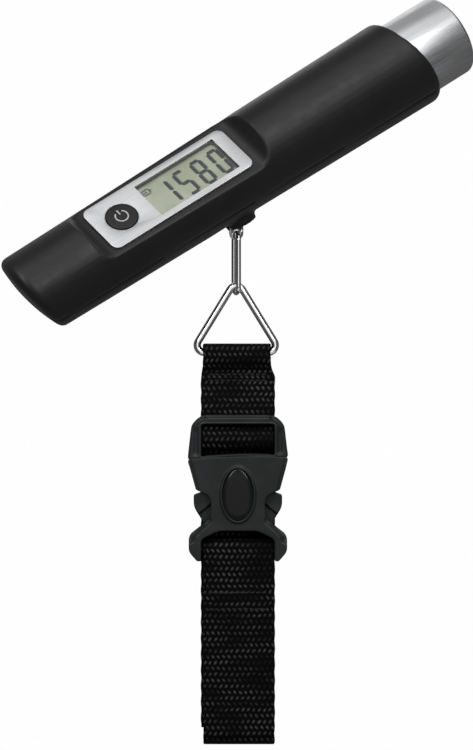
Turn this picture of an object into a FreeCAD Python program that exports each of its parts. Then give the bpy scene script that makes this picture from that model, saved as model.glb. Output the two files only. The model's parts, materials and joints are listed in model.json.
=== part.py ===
"""Hanging luggage scale: a round tapered handle with a display, and a buckled webbing loop below it.

Row frame: origin on the handle's axis above the hanger, X across, Y to the back, Z up.
The handle is stored as it hangs in the hand, one end raised and turned back, so it has two frames:
display frame - X along the handle, Z out of the display face, Y towards the bezel's upper edge;
hanger frame - X along the handle, Z up in the handle's upright plane, Y to the back.
"""
import FreeCAD, Part
import math
import os
import re
from types import SimpleNamespace

import Sketcher

Vector = FreeCAD.Vector
Rotation = FreeCAD.Rotation
Placement = FreeCAD.Placement

SIZES = {
    # how the handle hangs, in degrees
    "handle_yaw": 25.2, "handle_rise": 30.4, "display_turn": 47.0,
    # how far the shapes that only cut reach past what they cut
    "cut_reach": 60.0,
    # grip: a hollow taper with a slanted domed end at the left and an open mouth at the right
    "grip_length": 170.0, "grip_left_radius": 15.5, "mouth_wall": 2.6, "grip_wall": 2.2,
    "end_slant": 24.2, "dome_radius": 60.0, "dome_rise": 1.1, "end_round": 3.0,
    "mouth_slant_side": 6.8, "mouth_slant_face": 4.0, "mouth_round": 0.9,
    # display facet and the plate on it
    "facet_height": 10.5, "facet_ramp": 6.3, "facet_gap": 0.3,
    "bezel_length": 62.2, "bezel_width": 20.7, "bezel_thickness": 1.0, "bezel_corner": 2.8,
    "bezel_centre": -22.4, "window_length": 35.0, "window_width": 16.0, "window_offset": 8.5,
    "window_ledge": 0.4, "facet_wall": 1.2, "lens_thickness": 0.7, "lens_gap": 0.15,
    "lcd_length": 38.0, "lcd_width": 17.6, "lcd_thickness": 1.9,
    "strip_width": 1.4, "board_length": 66.0, "board_width": 19.0, "board_thickness": 1.2,
    "board_top": 5.6, "chip_length": 8.0, "chip_height": 1.1, "chip_offset": 8.0,
    # button
    "button_radius": 5.7, "button_gap": 0.25, "button_offset": -20.7, "button_stand": 0.5,
    "button_flange": 0.9, "button_flange_depth": 0.8, "button_travel": 0.6,
    "dome_switch_size": 5.0, "switch_gap": 0.05, "seat_gap": 0.1,
    # shell screws
    "screw_left": -66.0, "screw_right": 46.0, "screw_spread_left": 7.0, "screw_spread_right": 8.5,
    "post_radius": 2.7, "screw_radius": 1.0, "screw_head_radius": 1.9, "screw_head_height": 1.4,
    "screw_length": 11.0, "screw_head_level": -5.0, "screw_gap": 0.1, "screw_relief": 0.5,
    "well_gap": 0.2,
    # load cell and hanger
    "cell_left": -6.0, "cell_length": 48.0, "cell_width": 10.0, "cell_height": 8.0,
    "cell_bore": 2.6, "cell_bore_left": 12.0, "cell_bore_pitch": 10.0, "cell_slot": 1.4,
    "cell_seat": 30.0, "cell_screw_radius": 1.45, "cell_screw_first": 33.5, "cell_screw_pitch": 5.5,
    "cell_screw_depth": 13.0, "cell_screw_head": 1.6,
    "gauge_length": 5.0, "gauge_width": 3.0, "gauge_thickness": 0.15,
    "boss_radius": 5.7, "boss_reach": 19.0, "boss_bore": 4.5, "boss_round": 0.5, "boss_root": 10.0,
    "yoke_radius": 4.1, "yoke_reach": 17.4, "yoke_slot": 2.0, "yoke_gap_top": 0.4, "yoke_screw_depth": 2.2,
    "tilt_slot": 2.5, "tilt_slot_top": 15.3, "tilt_slot_length": 16.0,
    "pivot_reach": 14.2, "pin_radius": 1.0, "pin_fit": 0.07, "pin_length": 8.0,
    "eye_width": 5.2, "eye_thickness": 1.3, "eye_drop": 7.25, "eye_hole": 1.3,
    # link and triangle ring
    "link_wire": 0.9, "link_half_gap": 2.8, "link_yaw": 17.0, "link_bottom": -41.0,
    "ring_wire": 1.33, "ring_width": 30.6, "ring_bottom": -62.3, "ring_corner": 2.6, "ring_arch": 2.5,
    # battery compartment
    "battery_radius": 5.25, "battery_length": 44.5, "battery_gap": 0.7, "battery_nub": 1.0,
    "battery_nub_radius": 1.9, "battery_nub_root": 0.2, "contact_base": 3.6, "contact_tip": 1.8,
    "battery_left": 56.0,
    "tray_left": 50.0, "tray_wall": 1.95, "tray_disc_radius": 14.2, "tray_disc": 2.0,
    "tray_top": 1.5, "tray_gap": 0.2,
    "cap_room_gap": 1.2, "cap_wall": 1.4, "cap_left": 72.0, "cap_stand": 23.0, "cap_round": 1.6,
    "cap_gap": 0.2, "cap_seat": 66.0, "contact_plate": 0.4, "cap_contact_gap": 0.4,
    # webbing
    "strap_centre": 6.6, "strap_width": 24.4, "strap_thickness": 1.3, "strap_bend_gap": 0.25,
    "ring_bend_gap": 0.6,
    "loop_bottom": -202.5, "strap_rear_gap": 0.3,
    # buckle
    "buckle_centre": 7.1, "buckle_depth": 0.6, "buckle_seam": -100.4, "male_half_width": 18.0,
    "male_top": 15.8,
    "male_top_half_width": 16.2, "male_thickness": 7.0, "window_half": 13.1, "male_window_top": 12.5,
    "male_bar": 6.4, "bar_radius": 1.4, "female_thickness": 9.6, "female_wall": 1.9,
    "female_length": 36.4, "female_waist": 9.65, "lobe_half_width": 17.55, "notch_top": 10.9,
    "female_bar": 31.6, "arm_thickness": 4.8, "arm_reach": 24.2, "arm_half_span": 15.8,
    "prong_half_width": 2.2, "emblem_half_width": 5.5, "emblem_half_height": 9.2,
    "emblem_centre": 12.7, "emblem_rise": 1.5, "emblem_rim": 0.8,
}

doc = FreeCAD.newDocument("luggage_scale")
sheet = doc.addObject("Spreadsheet::Sheet", "Sizes")
for row, (alias, number) in enumerate(SIZES.items(), start=1):
    sheet.set(f"A{row}", alias)
    sheet.set(f"B{row}", str(number))
    sheet.setAlias(f"B{row}", alias)
doc.recompute()
size = SimpleNamespace(**{alias: float(sheet.get(alias)) for alias in SIZES})

along_x = Rotation(Vector(0, 1, 0), 90) * Rotation(Vector(0, 0, 1), 90)
along_y = Rotation(Vector(0, 0, 1), Vector(0, 1, 0))
upright = Rotation(Vector(1, 0, 0), 90)
hanger_turn = Rotation(Vector(1, 0, 0), -size.display_turn)
hanger_rotation = (Rotation(Vector(0, 0, 1), size.handle_yaw)
                   * Rotation(Vector(0, 1, 0), -size.handle_rise))
hanger_frame = Placement(Vector(), hanger_rotation)
display_frame = Placement(Vector(), hanger_rotation * Rotation(Vector(1, 0, 0), size.display_turn))
pivot = hanger_frame.multVec(Vector(0, 0, -size.pivot_reach))
eye_frame = Placement(pivot, Rotation(Vector(0, 0, 1), size.handle_yaw))
eye_hole_z = pivot.z - size.eye_drop
link_frame = Placement(Vector(pivot.x, pivot.y, 0),
                       Rotation(Vector(0, 0, 1), 90 + size.link_yaw))
ring_frame = Placement(Vector(pivot.x, pivot.y, 0), Rotation())
strap_frame = Placement(Vector(size.strap_centre, 0, 0), Rotation())
buckle_frame = Placement(Vector(size.buckle_centre, size.buckle_depth, size.buckle_seam), Rotation())
sub_parts = []


def tie(text):
    """Point every size named in an expression at the sheet of sizes."""
    return re.sub(r"[a-z][a-z_]+", lambda word: "Sizes." + word[0] if word[0] in SIZES else word[0],
                  text)


def primitive(kind, name, at=("0", "0", "0"), turn=None, **sizes):
    """A primitive whose sizes and place are tied to the sheet of sizes."""
    item = doc.addObject("Part::" + kind, name)
    item.Placement = Placement(Vector(), turn or Rotation())
    for axis, text in zip("xyz", at):
        item.setExpression(".Placement.Base." + axis, tie(text))
    for name_of_size, text in sizes.items():
        item.setExpression(name_of_size, tie(text))
    return item


def block(name, length, width, height, at, turn=None):
    return primitive("Box", name, at, turn, Length=length, Width=width, Height=height)


def rod(name, radius, height, at, turn=None):
    return primitive("Cylinder", name, at, turn, Radius=radius, Height=height)


def fuse(name, *items):
    item = doc.addObject("Part::MultiFuse", name)
    item.Shapes = list(items)
    return item


def group(name, *items):
    item = doc.addObject("Part::Compound", name)
    item.Links = list(items)
    return item


def cut(name, base, *tools):
    item = doc.addObject("Part::Cut", name)
    item.Base = base
    item.Tool = tools[0] if len(tools) == 1 else fuse(name + "_tools", *tools)
    return item


def common(name, base, tool):
    item = doc.addObject("Part::Common", name)
    item.Base = base
    item.Tool = tool
    return item


def feature(name, shape):
    item = doc.addObject("Part::Feature", name)
    item.Shape = shape
    return item


def sub_part(item, label, frame):
    """Name a finished piece and set it in its frame."""
    item.Label = label
    item.Placement = frame * item.Placement
    sub_parts.append(item)


def in_hanger(along, back, up):
    """Place of a hanger-frame point in the display frame, as expressions."""
    return (along, f"({back}) * cos(display_turn) + ({up}) * sin(display_turn)",
            f"({up}) * cos(display_turn) - ({back}) * sin(display_turn)")


# ---- sketched bodies ----

def sketched_body(name, plane):
    """A PartDesign body with an empty sketch on one of its own origin planes."""
    body = doc.addObject("PartDesign::Body", name)
    sketch = body.newObject("Sketcher::SketchObject", name + "_sketch")
    support = [item for item in body.Origin.OriginFeatures if item.Role == plane][0]
    sketch.AttachmentSupport = (support, [""])
    sketch.MapMode = "FlatFace"
    return body, sketch


def dimension(sketch, kind, *where, text):
    """A driving dimension tied to the sheet of sizes."""
    number = sketch.addConstraint(Sketcher.Constraint(kind, *where, 1.0))
    sketch.setExpression(f"Constraints[{number}]", tie(text))


def sketch_rectangle(sketch, left, bottom, right, top):
    """Four lines with their lower left and upper right corners dimensioned from the origin."""
    corners = [Vector(-1, -1, 0), Vector(1, -1, 0), Vector(1, 1, 0), Vector(-1, 1, 0)]
    first = sketch.GeometryCount
    for start, end in zip(corners, corners[1:] + corners[:1]):
        sketch.addGeometry(Part.LineSegment(start, end))
    for side in range(4):
        sketch.addConstraint(Sketcher.Constraint("Coincident", first + side, 2,
                                                 first + (side + 1) % 4, 1))
        direction = "Horizontal" if side % 2 == 0 else "Vertical"
        sketch.addConstraint(Sketcher.Constraint(direction, first + side))
    dimension(sketch, "DistanceX", -1, 1, first, 1, text=left)
    dimension(sketch, "DistanceY", -1, 1, first, 1, text=bottom)
    dimension(sketch, "DistanceX", -1, 1, first + 1, 2, text=right)
    dimension(sketch, "DistanceY", -1, 1, first + 2, 1, text=top)


def sketch_circle(sketch, along, up, radius):
    first = sketch.addGeometry(Part.Circle(Vector(0, 0, 0), Vector(0, 0, 1), 1.0))
    dimension(sketch, "Radius", first, text=radius)
    dimension(sketch, "DistanceX", -1, 1, first, 3, text=along)
    dimension(sketch, "DistanceY", -1, 1, first, 3, text=up)


def pad(body, sketch, length):
    item = body.newObject("PartDesign::Pad", body.Name + "_pad")
    item.Profile = sketch
    item.setExpression("Length", tie(length))
    return item


def vertical_edges(shape, low, high):
    """Names of the straight edges that stand between two levels."""
    names = []
    for number, edge in enumerate(shape.Edges, start=1):
        box = edge.BoundBox
        if box.XLength < 0.01 and box.YLength < 0.01 and box.ZMin < low + 0.01 < high - 0.01 < box.ZMax:
            names.append(f"Edge{number}")
    return names


# ---- flat routes and outlines made of straight runs and tangent arcs ----

def rounded_chain(points, radii, closed):
    """Points on the chain with their left-hand normals: (point, normal, starts_an_arc)."""
    count = len(points)
    chain = []
    for number, point in enumerate(points):
        radius = radii[number]
        if not closed and number in (0, count - 1):
            other = points[1] if number == 0 else points[-2]
            run = (other - point) if number == 0 else (point - other)
            run.normalize()
            chain.append((point, Vector(-run.y, run.x, 0), False))
            continue
        before = point - points[number - 1]
        after = points[(number + 1) % count] - point
        before.normalize()
        after.normalize()
        turn = math.atan2(before.x * after.y - before.y * after.x, before.dot(after))
        if radius == 0:
            chain.append((point, Vector(-before.y, before.x, 0), False))
            continue
        reach = radius * math.tan(abs(turn) / 2)
        start = point - before * reach
        end = point + after * reach
        side = math.copysign(1, turn)
        centre = start + Vector(-before.y, before.x, 0) * (side * radius)
        middle_normal = (point - centre).normalize() * -side
        middle = centre - middle_normal * (side * radius)
        chain.append((start, Vector(-before.y, before.x, 0), True))
        chain.append((middle, middle_normal, None))
        chain.append((end, Vector(-after.y, after.x, 0), False))
    return chain


def chain_edges(chain, offset, closed):
    """Lines and arcs through a chain, shifted sideways by an offset."""
    places = [(point + normal * offset, arc) for point, normal, arc in chain]
    edges = []
    if closed:
        places.append(places[0])
    number = 0
    while number < len(places) - 1:
        place, arc = places[number]
        if arc and number + 2 < len(places):
            edges.append(Part.Arc(place, places[number + 1][0], places[number + 2][0]).toShape())
            number += 2
            continue
        following = places[number + 1][0]
        if (following - place).Length > 1e-6:
            edges.append(Part.LineSegment(place, following).toShape())
        number += 1
    return edges


def outline_plate(points, back, front):
    """A plate from an outline of (x, z, corner radius), between two depths along Y."""
    chain = rounded_chain([Vector(x, z, 0) for x, z, _ in points], [r for _, _, r in points], True)
    wire = Part.Wire(Part.__sortEdges__(chain_edges(chain, 0, True)))
    plate = Part.Face(wire).extrude(Vector(0, 0, back - front))
    plate.Placement = Placement(Vector(0, back, 0), upright)
    return plate


def mirrored(points):
    """Right-hand outline points, top to bottom, joined to their mirror image."""
    return points + [(-x, z, radius) for x, z, radius in reversed(points)]


def ribbon(route, width, thickness):
    """Webbing along a route of (y, z, bend radius) in the Y-Z plane, centred on X = 0."""
    points = [Vector(y, z, 0) for y, z, _ in route]
    chain = rounded_chain(points, [radius for _, _, radius in route], False)
    left = chain_edges(chain, thickness / 2, False)
    right = chain_edges(chain, -thickness / 2, False)
    ends = []
    for number in (0, -1):
        point, normal, _ = chain[number]
        ends.append(Part.LineSegment(point + normal * (thickness / 2),
                                     point - normal * (thickness / 2)).toShape())
    wire = Part.Wire(Part.__sortEdges__(left + right + ends))
    shape = Part.Face(wire).extrude(Vector(0, 0, width))
    to_row = Placement(Vector(-width / 2, 0, 0),
                       Rotation(Vector(0, 1, 0), Vector(0, 0, 1), Vector(1, 0, 0), "ZXY"))
    shape.Placement = to_row
    return shape


def box_shape(low, high):
    return Part.makeBox(*(b - a for a, b in zip(low, high)), Vector(*low))


# ---- handle shells (display frame) ----

battery_pitch = "(2 * battery_radius + battery_gap)"
tray_radius = f"({battery_pitch} / 2 + battery_radius + tray_wall)"
cap_radius = f"({tray_radius} + cap_room_gap + cap_wall)"
taper = f"({cap_radius} + mouth_wall - grip_left_radius) / grip_length"
SPARE = "12"        # length left over at each end before the ends are cut


def tapered_rod(name, inset, right_end):
    """The grip's taper, brought in by an inset, from beyond the left end to a given X."""
    left_radius = f"grip_left_radius - {taper} * {SPARE} - {inset}"
    length = f"{right_end} + grip_length / 2 + {SPARE}"
    return primitive("Cone", name, (f"-grip_length / 2 - {SPARE}", "0", "0"), along_x,
                     Radius1=left_radius, Radius2=f"{left_radius} + {taper} * ({length})",
                     Height=length)


def left_end_waste(name, inset):
    """What lies beyond the slanted domed end."""
    slab = block(name + "_slab", "cut_reach", "cut_reach", "cut_reach",
                 ("-grip_length / 2 - cut_reach / 2", "-cut_reach / 2", "-cut_reach / 2"))
    centre = (f"-grip_length / 2 + (dome_radius - dome_rise) * cos(end_slant)", "0",
              "(dome_radius - dome_rise) * sin(end_slant)")
    dome = primitive("Sphere", name + "_dome", centre, Radius=f"dome_radius - {inset}")
    return cut(name, slab, dome)


def facet_waste(name):
    """What is scooped away above the display facet, with a curved ramp at each end."""
    level = "facet_height"
    left = "bezel_centre - bezel_length / 2 - facet_gap"
    right = "bezel_centre + bezel_length / 2 + facet_gap"
    over = f"{level} + facet_ramp"
    flat = block(name + "_flat", "bezel_length + 2 * facet_gap", "cut_reach", "cut_reach",
                 (left, "-cut_reach / 2", level))
    above = block(name + "_above", "bezel_length + 2 * facet_gap + 2 * facet_ramp", "cut_reach", "cut_reach",
                  (f"{left} - facet_ramp", "-cut_reach / 2", over))
    ramps = [rod(f"{name}_ramp_{side}", "facet_ramp", "cut_reach", (place, "-cut_reach / 2", over), along_y)
             for side, place in (("left", left), ("right", right))]
    return fuse(name, flat, above, *ramps)


mouth_normal = Vector(1, math.tan(math.radians(size.mouth_slant_side)),
                      math.tan(math.radians(size.mouth_slant_face)))
mouth_waste = rod("mouth_waste", "cut_reach", "cut_reach", ("grip_length / 2", "0", "0"),
                  Rotation(Vector(0, 0, 1), mouth_normal))
sleeve_blank = cut("sleeve_blank", tapered_rod("sleeve_taper", "0", f"grip_length / 2 + {SPARE}"),
                   left_end_waste("sleeve_left_waste", "0"), mouth_waste)
doc.recompute()
sleeve_round = doc.addObject("Part::Fillet", "sleeve_round")
sleeve_round.Base = sleeve_blank
rounded_edges = []
for number, edge in enumerate(sleeve_blank.Shape.Edges, start=1):
    if edge.Length > 3 * size.grip_left_radius and edge.isClosed():
        radius = size.end_round if edge.CenterOfMass.x < 0 else size.mouth_round
        rounded_edges.append((number, radius, radius))
sleeve_round.Edges = rounded_edges
sleeve = cut("sleeve", sleeve_round, facet_waste("facet_scoop"))

hollow = cut("hollow", tapered_rod("hollow_taper", "grip_wall", "cap_seat"),
             left_end_waste("hollow_left_waste", "grip_wall"),
             block("facet_backing", "bezel_length + 2 * facet_ramp + 2 * facet_gap", "cut_reach", "cut_reach",
                   ("bezel_centre - bezel_length / 2 - facet_ramp - facet_gap", "-cut_reach / 2",
                    "facet_height - facet_wall")))
posts = []
screw_places = []
for side in ("left", "right"):
    for sign in ("", "-"):
        name = side + ("_back" if sign else "_front")
        place = (f"screw_{side}", f"{sign}screw_spread_{side}")
        screw_places.append((name, place))
        posts.append(rod("post_" + name, "post_radius", "cut_reach", (*place, "-cut_reach / 2")))
cell_seat = block("cell_seat_block", "cell_left + cell_length - cell_seat", "cell_width", "cut_reach",
                  in_hanger("cell_seat", "-cell_width / 2", "-cell_height - cut_reach"), hanger_turn)
cavity = fuse("cavity", cut("hollow_with_posts", hollow, *posts, cell_seat),
              rod("cap_bore", f"{cap_radius} + cap_gap", "cut_reach", ("cap_seat", "0", "0"), along_x))

upper_half = block("upper_half", "2 * grip_length", "cut_reach", "cut_reach",
                   ("-grip_length", "-cut_reach / 2", "0"))
lower_half = block("lower_half", "2 * grip_length", "cut_reach", "cut_reach",
                   ("-grip_length", "-cut_reach / 2", "-cut_reach"))
window_hole = block("window_hole", "window_length - 2 * window_ledge",
                    "window_width - 2 * window_ledge", "10",
                    ("bezel_centre + window_offset - window_length / 2 + window_ledge",
                     "-window_width / 2 + window_ledge", "facet_height - 5"))
button_hole = rod("button_hole", "button_radius + button_gap", "10",
                  ("bezel_centre + button_offset", "0", "facet_height - 5"))
pilots = [rod("pilot_" + name, "screw_radius", "screw_length",
              (*place, "screw_head_level - screw_relief")) for name, place in screw_places]
sub_part(cut("front_shell", common("sleeve_upper", sleeve, upper_half), cavity, window_hole,
             button_hole, *pilots), "front_shell", display_frame)

boss_blank = rod("boss_blank", "boss_radius", "boss_reach - boss_root", in_hanger("0", "0", "-boss_reach"),
                 hanger_turn)
doc.recompute()
boss = doc.addObject("Part::Fillet", "boss")
boss.Base = boss_blank
boss.Edges = [(number, size.boss_round, size.boss_round)
              for number, edge in enumerate(boss_blank.Shape.Edges, start=1)
              if edge.isClosed() and edge.CenterOfMass.Length > size.boss_reach - 1]
boss_bore = rod("boss_hole", "boss_bore", "cut_reach", in_hanger("0", "0", "-cut_reach"), hanger_turn)
boss_slot = block("boss_slot", "tilt_slot_length", "tilt_slot", "boss_root",
                  in_hanger("-tilt_slot_length / 2", "-tilt_slot / 2", "-tilt_slot_top - boss_root"),
                  hanger_turn)
screw_wells = [rod("well_" + name, "screw_head_radius + well_gap", "cut_reach",
                   (*place, "screw_head_level - cut_reach")) for name, place in screw_places]
clear_holes = [rod("clear_" + name, "screw_radius + screw_gap", "screw_length", (*place, "screw_head_level"))
               for name, place in screw_places]
cell_taps = [rod(f"cell_tap_{number}", "cell_screw_radius", "cell_screw_depth + 0.5",
                 in_hanger(f"cell_screw_first + {number} * cell_screw_pitch", "0",
                           "-cell_screw_depth - 0.5"), hanger_turn) for number in range(2)]
shell_with_boss = fuse("shell_with_boss",
                       cut("lower_shell_blank", common("sleeve_lower", sleeve, lower_half), cavity),
                       cut("boss_outside", boss, boss_bore))
sub_part(cut("rear_shell", shell_with_boss, boss_bore, boss_slot, *screw_wells, *clear_holes,
             *cell_taps), "rear_shell", display_frame)

screws = []
for name, place in screw_places:
    head = rod("head_" + name, "screw_head_radius", "screw_head_height",
               (*place, "screw_head_level - screw_head_height"))
    shank = rod("shank_" + name, "screw_radius", "screw_length - screw_relief - screw_gap",
                (*place, "screw_head_level"))
    screws.append(fuse("screw_" + name, head, shank))
sub_part(group("shell_screws", *screws), "shell_screws", display_frame)

# ---- display and button (display frame) ----

body, sketch = sketched_body("bezel_plate", "XY_Plane")
sketch_rectangle(sketch, "bezel_centre - bezel_length / 2", "-bezel_width / 2",
                 "bezel_centre + bezel_length / 2", "bezel_width / 2")
sketch_rectangle(sketch, "bezel_centre + window_offset - window_length / 2", "-window_width / 2",
                 "bezel_centre + window_offset + window_length / 2", "window_width / 2")
sketch_circle(sketch, "bezel_centre + button_offset", "0", "button_radius + button_gap")
plate = pad(body, sketch, "bezel_thickness")
doc.recompute()
corner = body.newObject("PartDesign::Fillet", "bezel_corners")
outer_edges = [name for name in vertical_edges(plate.Shape, 0, size.bezel_thickness)
               if abs(abs(plate.Shape.getElement(name).CenterOfMass.y) - size.bezel_width / 2) < 0.01]
corner.Base = (plate, outer_edges)
corner.setExpression("Radius", tie("bezel_corner"))
on_facet = display_frame * Placement(Vector(0, 0, size.facet_height), Rotation())
sub_part(body, "bezel_plate", on_facet)

body, sketch = sketched_body("display_lens", "XY_Plane")
sketch_rectangle(sketch, "bezel_centre + window_offset - window_length / 2 + lens_gap",
                 "-window_width / 2 + lens_gap",
                 "bezel_centre + window_offset + window_length / 2 - lens_gap",
                 "window_width / 2 - lens_gap")
pad(body, sketch, "lens_thickness")
sub_part(body, "display_lens", on_facet)

board_centre = "bezel_centre - 1"
lcd_level = size.facet_height - size.facet_wall - size.lcd_thickness
body, sketch = sketched_body("lcd_panel", "XY_Plane")
sketch_rectangle(sketch, "bezel_centre + window_offset - lcd_length / 2", "-lcd_width / 2",
                 "bezel_centre + window_offset + lcd_length / 2", "lcd_width / 2")
pad(body, sketch, "lcd_thickness")
sub_part(body, "lcd_panel", display_frame * Placement(Vector(0, 0, lcd_level), Rotation()))

strips = [block(f"strip_{number}", "lcd_length - 2", "strip_width",
                "facet_height - facet_wall - lcd_thickness - board_top",
                ("bezel_centre + window_offset - lcd_length / 2 + 1",
                 f"{sign} * (lcd_width / 2 - strip_width) - strip_width / 2", "board_top"))
          for number, sign in enumerate(("-1", "1"))]
sub_part(group("lcd_connector", *strips), "lcd_connector", display_frame)

body, sketch = sketched_body("circuit_board", "XY_Plane")
sketch_rectangle(sketch, f"{board_centre} - board_length / 2", "-board_width / 2",
                 f"{board_centre} + board_length / 2", "board_width / 2")
pad(body, sketch, "board_thickness")
board_level = Placement(Vector(0, 0, size.board_top - size.board_thickness), Rotation())
sub_part(body, "circuit_board", display_frame * board_level)

button_x = "bezel_centre + button_offset"
chip = block("chip_block", "chip_length", "chip_length", "chip_height",
             (f"{button_x} + chip_offset", "-chip_length / 2", "board_top - board_thickness - chip_height"))
sub_part(group("controller_chip", chip), "controller_chip", display_frame)

flange_top = "facet_height - facet_wall - seat_gap"
cap_disc = rod("button_disc", "button_radius",
               "facet_wall + bezel_thickness + button_stand + seat_gap", (button_x, "0", flange_top))
cap_flange = rod("button_rim", "button_radius + button_gap + button_flange",
                 "button_flange_depth", (button_x, "0", f"{flange_top} - button_flange_depth"))
sub_part(fuse("button_cap", cap_disc, cap_flange), "button_cap", display_frame)
dome_switch = block("dome_switch", "dome_switch_size", "dome_switch_size",
                    f"{flange_top} - button_flange_depth - button_travel - switch_gap - board_top",
                    (f"{button_x} - dome_switch_size / 2", "-dome_switch_size / 2", "board_top"))
sub_part(group("button_dome", dome_switch), "button_dome", display_frame)

# ---- load cell and yoke (hanger frame) ----

cell = block("cell_block", "cell_length", "cell_width", "cell_height",
             ("cell_left", "-cell_width / 2", "-cell_height"))
bores = [rod(f"cell_bore_{number}", "cell_bore", "cell_width + 2",
             (f"cell_bore_left + {number} * cell_bore_pitch", "-cell_width / 2 - 1",
              "-cell_height / 2"), along_y) for number in range(2)]
web_slot = block("cell_web_slot", "cell_bore_pitch", "cell_width + 2", "cell_slot",
                 ("cell_bore_left", "-cell_width / 2 - 1", "-cell_height / 2 - cell_slot / 2"))
screw_holes = [rod(f"cell_hole_{number}", "cell_screw_radius + screw_gap", "cell_height + 2",
                   (f"cell_screw_first + {number} * cell_screw_pitch", "0", "-cell_height - 1"))
               for number in range(2)]
yoke_hole = rod("cell_yoke_hole", "cell_screw_radius + screw_gap", "cell_height + 2",
                ("0", "0", "-cell_height - 1"))
sub_part(cut("load_cell", cell, *bores, web_slot, *screw_holes, yoke_hole), "load_cell", hanger_frame)

gauges = [block(f"gauge_{column}_{level}", "gauge_length", "gauge_width", "gauge_thickness",
                (f"cell_bore_left + {column} * cell_bore_pitch - gauge_length / 2",
                 "-gauge_width / 2", place))
          for column in range(2)
          for level, place in enumerate(("0", "-cell_height - gauge_thickness"))]
sub_part(group("strain_gauges", *gauges), "strain_gauges", hanger_frame)

cell_screws = []
for number in range(2):
    place = (f"cell_screw_first + {number} * cell_screw_pitch", "0")
    head = rod(f"cell_screw_head_{number}", "cell_screw_radius + 1", "cell_screw_head", (*place, "0"))
    shank = rod(f"cell_screw_shank_{number}", "cell_screw_radius", "cell_screw_depth + seat_gap",
                (*place, "-cell_screw_depth"))
    cell_screws.append(fuse(f"cell_screw_{number}", head, shank))
sub_part(group("load_cell_screws", *cell_screws), "load_cell_screws", hanger_frame)

yoke_body = rod("yoke_body", "yoke_radius", "yoke_reach - cell_height", ("0", "0", "-yoke_reach"))
yoke_gap = block("yoke_gap", "2 * yoke_radius + 2", "yoke_slot", "yoke_reach",
                 ("-yoke_radius - 1", "-yoke_slot / 2",
                  "-pivot_reach + eye_width / 2 + yoke_gap_top - yoke_reach"))
yoke_pin_hole = rod("yoke_pin_hole", "pin_radius", "cut_reach", ("0", "-cut_reach / 2", "-pivot_reach"),
                    along_y)
yoke_tap = rod("yoke_tap", "cell_screw_radius", "cell_height",
               ("0", "0", "-cell_height - yoke_screw_depth - well_gap"))
sub_part(cut("load_yoke", yoke_body, yoke_gap, yoke_pin_hole, yoke_tap), "load_yoke", hanger_frame)
sub_part(fuse("yoke_screw",
              rod("yoke_screw_head", "cell_screw_radius + 1", "cell_screw_head", ("0", "0", "0")),
              rod("yoke_screw_shank", "cell_screw_radius", "cell_height + yoke_screw_depth + seat_gap",
                  ("0", "0", "-cell_height - yoke_screw_depth"))), "yoke_screw", hanger_frame)
pin = rod("pin_rod", "pin_radius", "pin_length", ("0", "-pin_length / 2", "-pivot_reach"), along_y)
sub_part(group("hanger_pin", pin), "hanger_pin", hanger_frame)

# ---- batteries and end cap (display frame) ----

tray_run = "battery_left + battery_length - tray_left"
battery_places = [f"{sign} * {battery_pitch} / 2" for sign in ("-1", "1")]
tray_disc = rod("tray_bulkhead", "tray_disc_radius", "tray_disc", ("tray_left", "0", "0"), along_x)
tray_trough = rod("tray_trough", tray_radius, tray_run, ("tray_left", "0", "0"), along_x)
tray_lid_cut = block("tray_lid_cut", tray_run, "cut_reach", "cut_reach",
                     ("tray_left + tray_disc", "-cut_reach / 2", "tray_top"))
cell_bays = [rod(f"cell_bay_{number}", "battery_radius + tray_gap", tray_run,
                 ("tray_left + tray_disc", place, "0"), along_x)
             for number, place in enumerate(battery_places)]
tray_mid_cut = block("tray_mid_cut", tray_run, battery_pitch, "cut_reach",
                     ("tray_left + tray_disc", f"-{battery_pitch} / 2", "0"))
sub_part(fuse("battery_tray", tray_disc,
              cut("tray_trough_cut", tray_trough, tray_lid_cut, *cell_bays, tray_mid_cut)),
         "battery_tray", display_frame)

cells = []
for number, place in enumerate(battery_places):
    can = rod(f"battery_can_{number}", "battery_radius", "battery_length - battery_nub",
              ("battery_left", place, "0"), along_x)
    at = "battery_left + battery_length - battery_nub" if number else "battery_left - battery_nub"
    nub = rod(f"battery_nub_{number}", "battery_nub_radius", "battery_nub + battery_nub_root",
              (at + (" - battery_nub_root" if number else ""), place, "0"), along_x)
    cells.append(fuse(f"battery_{number}", can, nub))
sub_part(group("batteries", *cells), "batteries", display_frame)

contact_room = "battery_left - battery_nub - battery_nub_root - tray_left - tray_disc"
contacts = [primitive("Cone", f"contact_{number}", ("tray_left + tray_disc", place, "0"), along_x,
                      Radius1="contact_base", Radius2="contact_tip", Height=contact_room)
            for number, place in enumerate(battery_places)]
sub_part(group("battery_contacts", *contacts), "battery_contacts", display_frame)

cap_length = "grip_length / 2 + cap_stand - cap_left"
cap_blank = rod("cap_blank", cap_radius, cap_length, ("cap_left", "0", "0"), along_x)
doc.recompute()
cap_rounded = doc.addObject("Part::Fillet", "cap_rounded")
cap_rounded.Base = cap_blank
cap_rounded.Edges = [(number, size.cap_round, size.cap_round)
                     for number, edge in enumerate(cap_blank.Shape.Edges, start=1)
                     if edge.isClosed() and edge.CenterOfMass.x > size.grip_length / 2]
cap_room = rod("cap_room", f"{cap_radius} - cap_wall", f"{cap_length} - cap_wall",
               ("cap_left", "0", "0"), along_x)
sub_part(cut("end_cap", cap_rounded, cap_room), "end_cap", display_frame)
bridge = rod("contact_disc", f"{cap_radius} - cap_wall - cap_contact_gap", "contact_plate",
             ("grip_length / 2 + cap_stand - cap_wall - contact_plate", "0", "0"), along_x)
sub_part(group("cap_contact", bridge), "cap_contact", display_frame)

# ---- hanger eye, link and triangle ring ----

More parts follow.
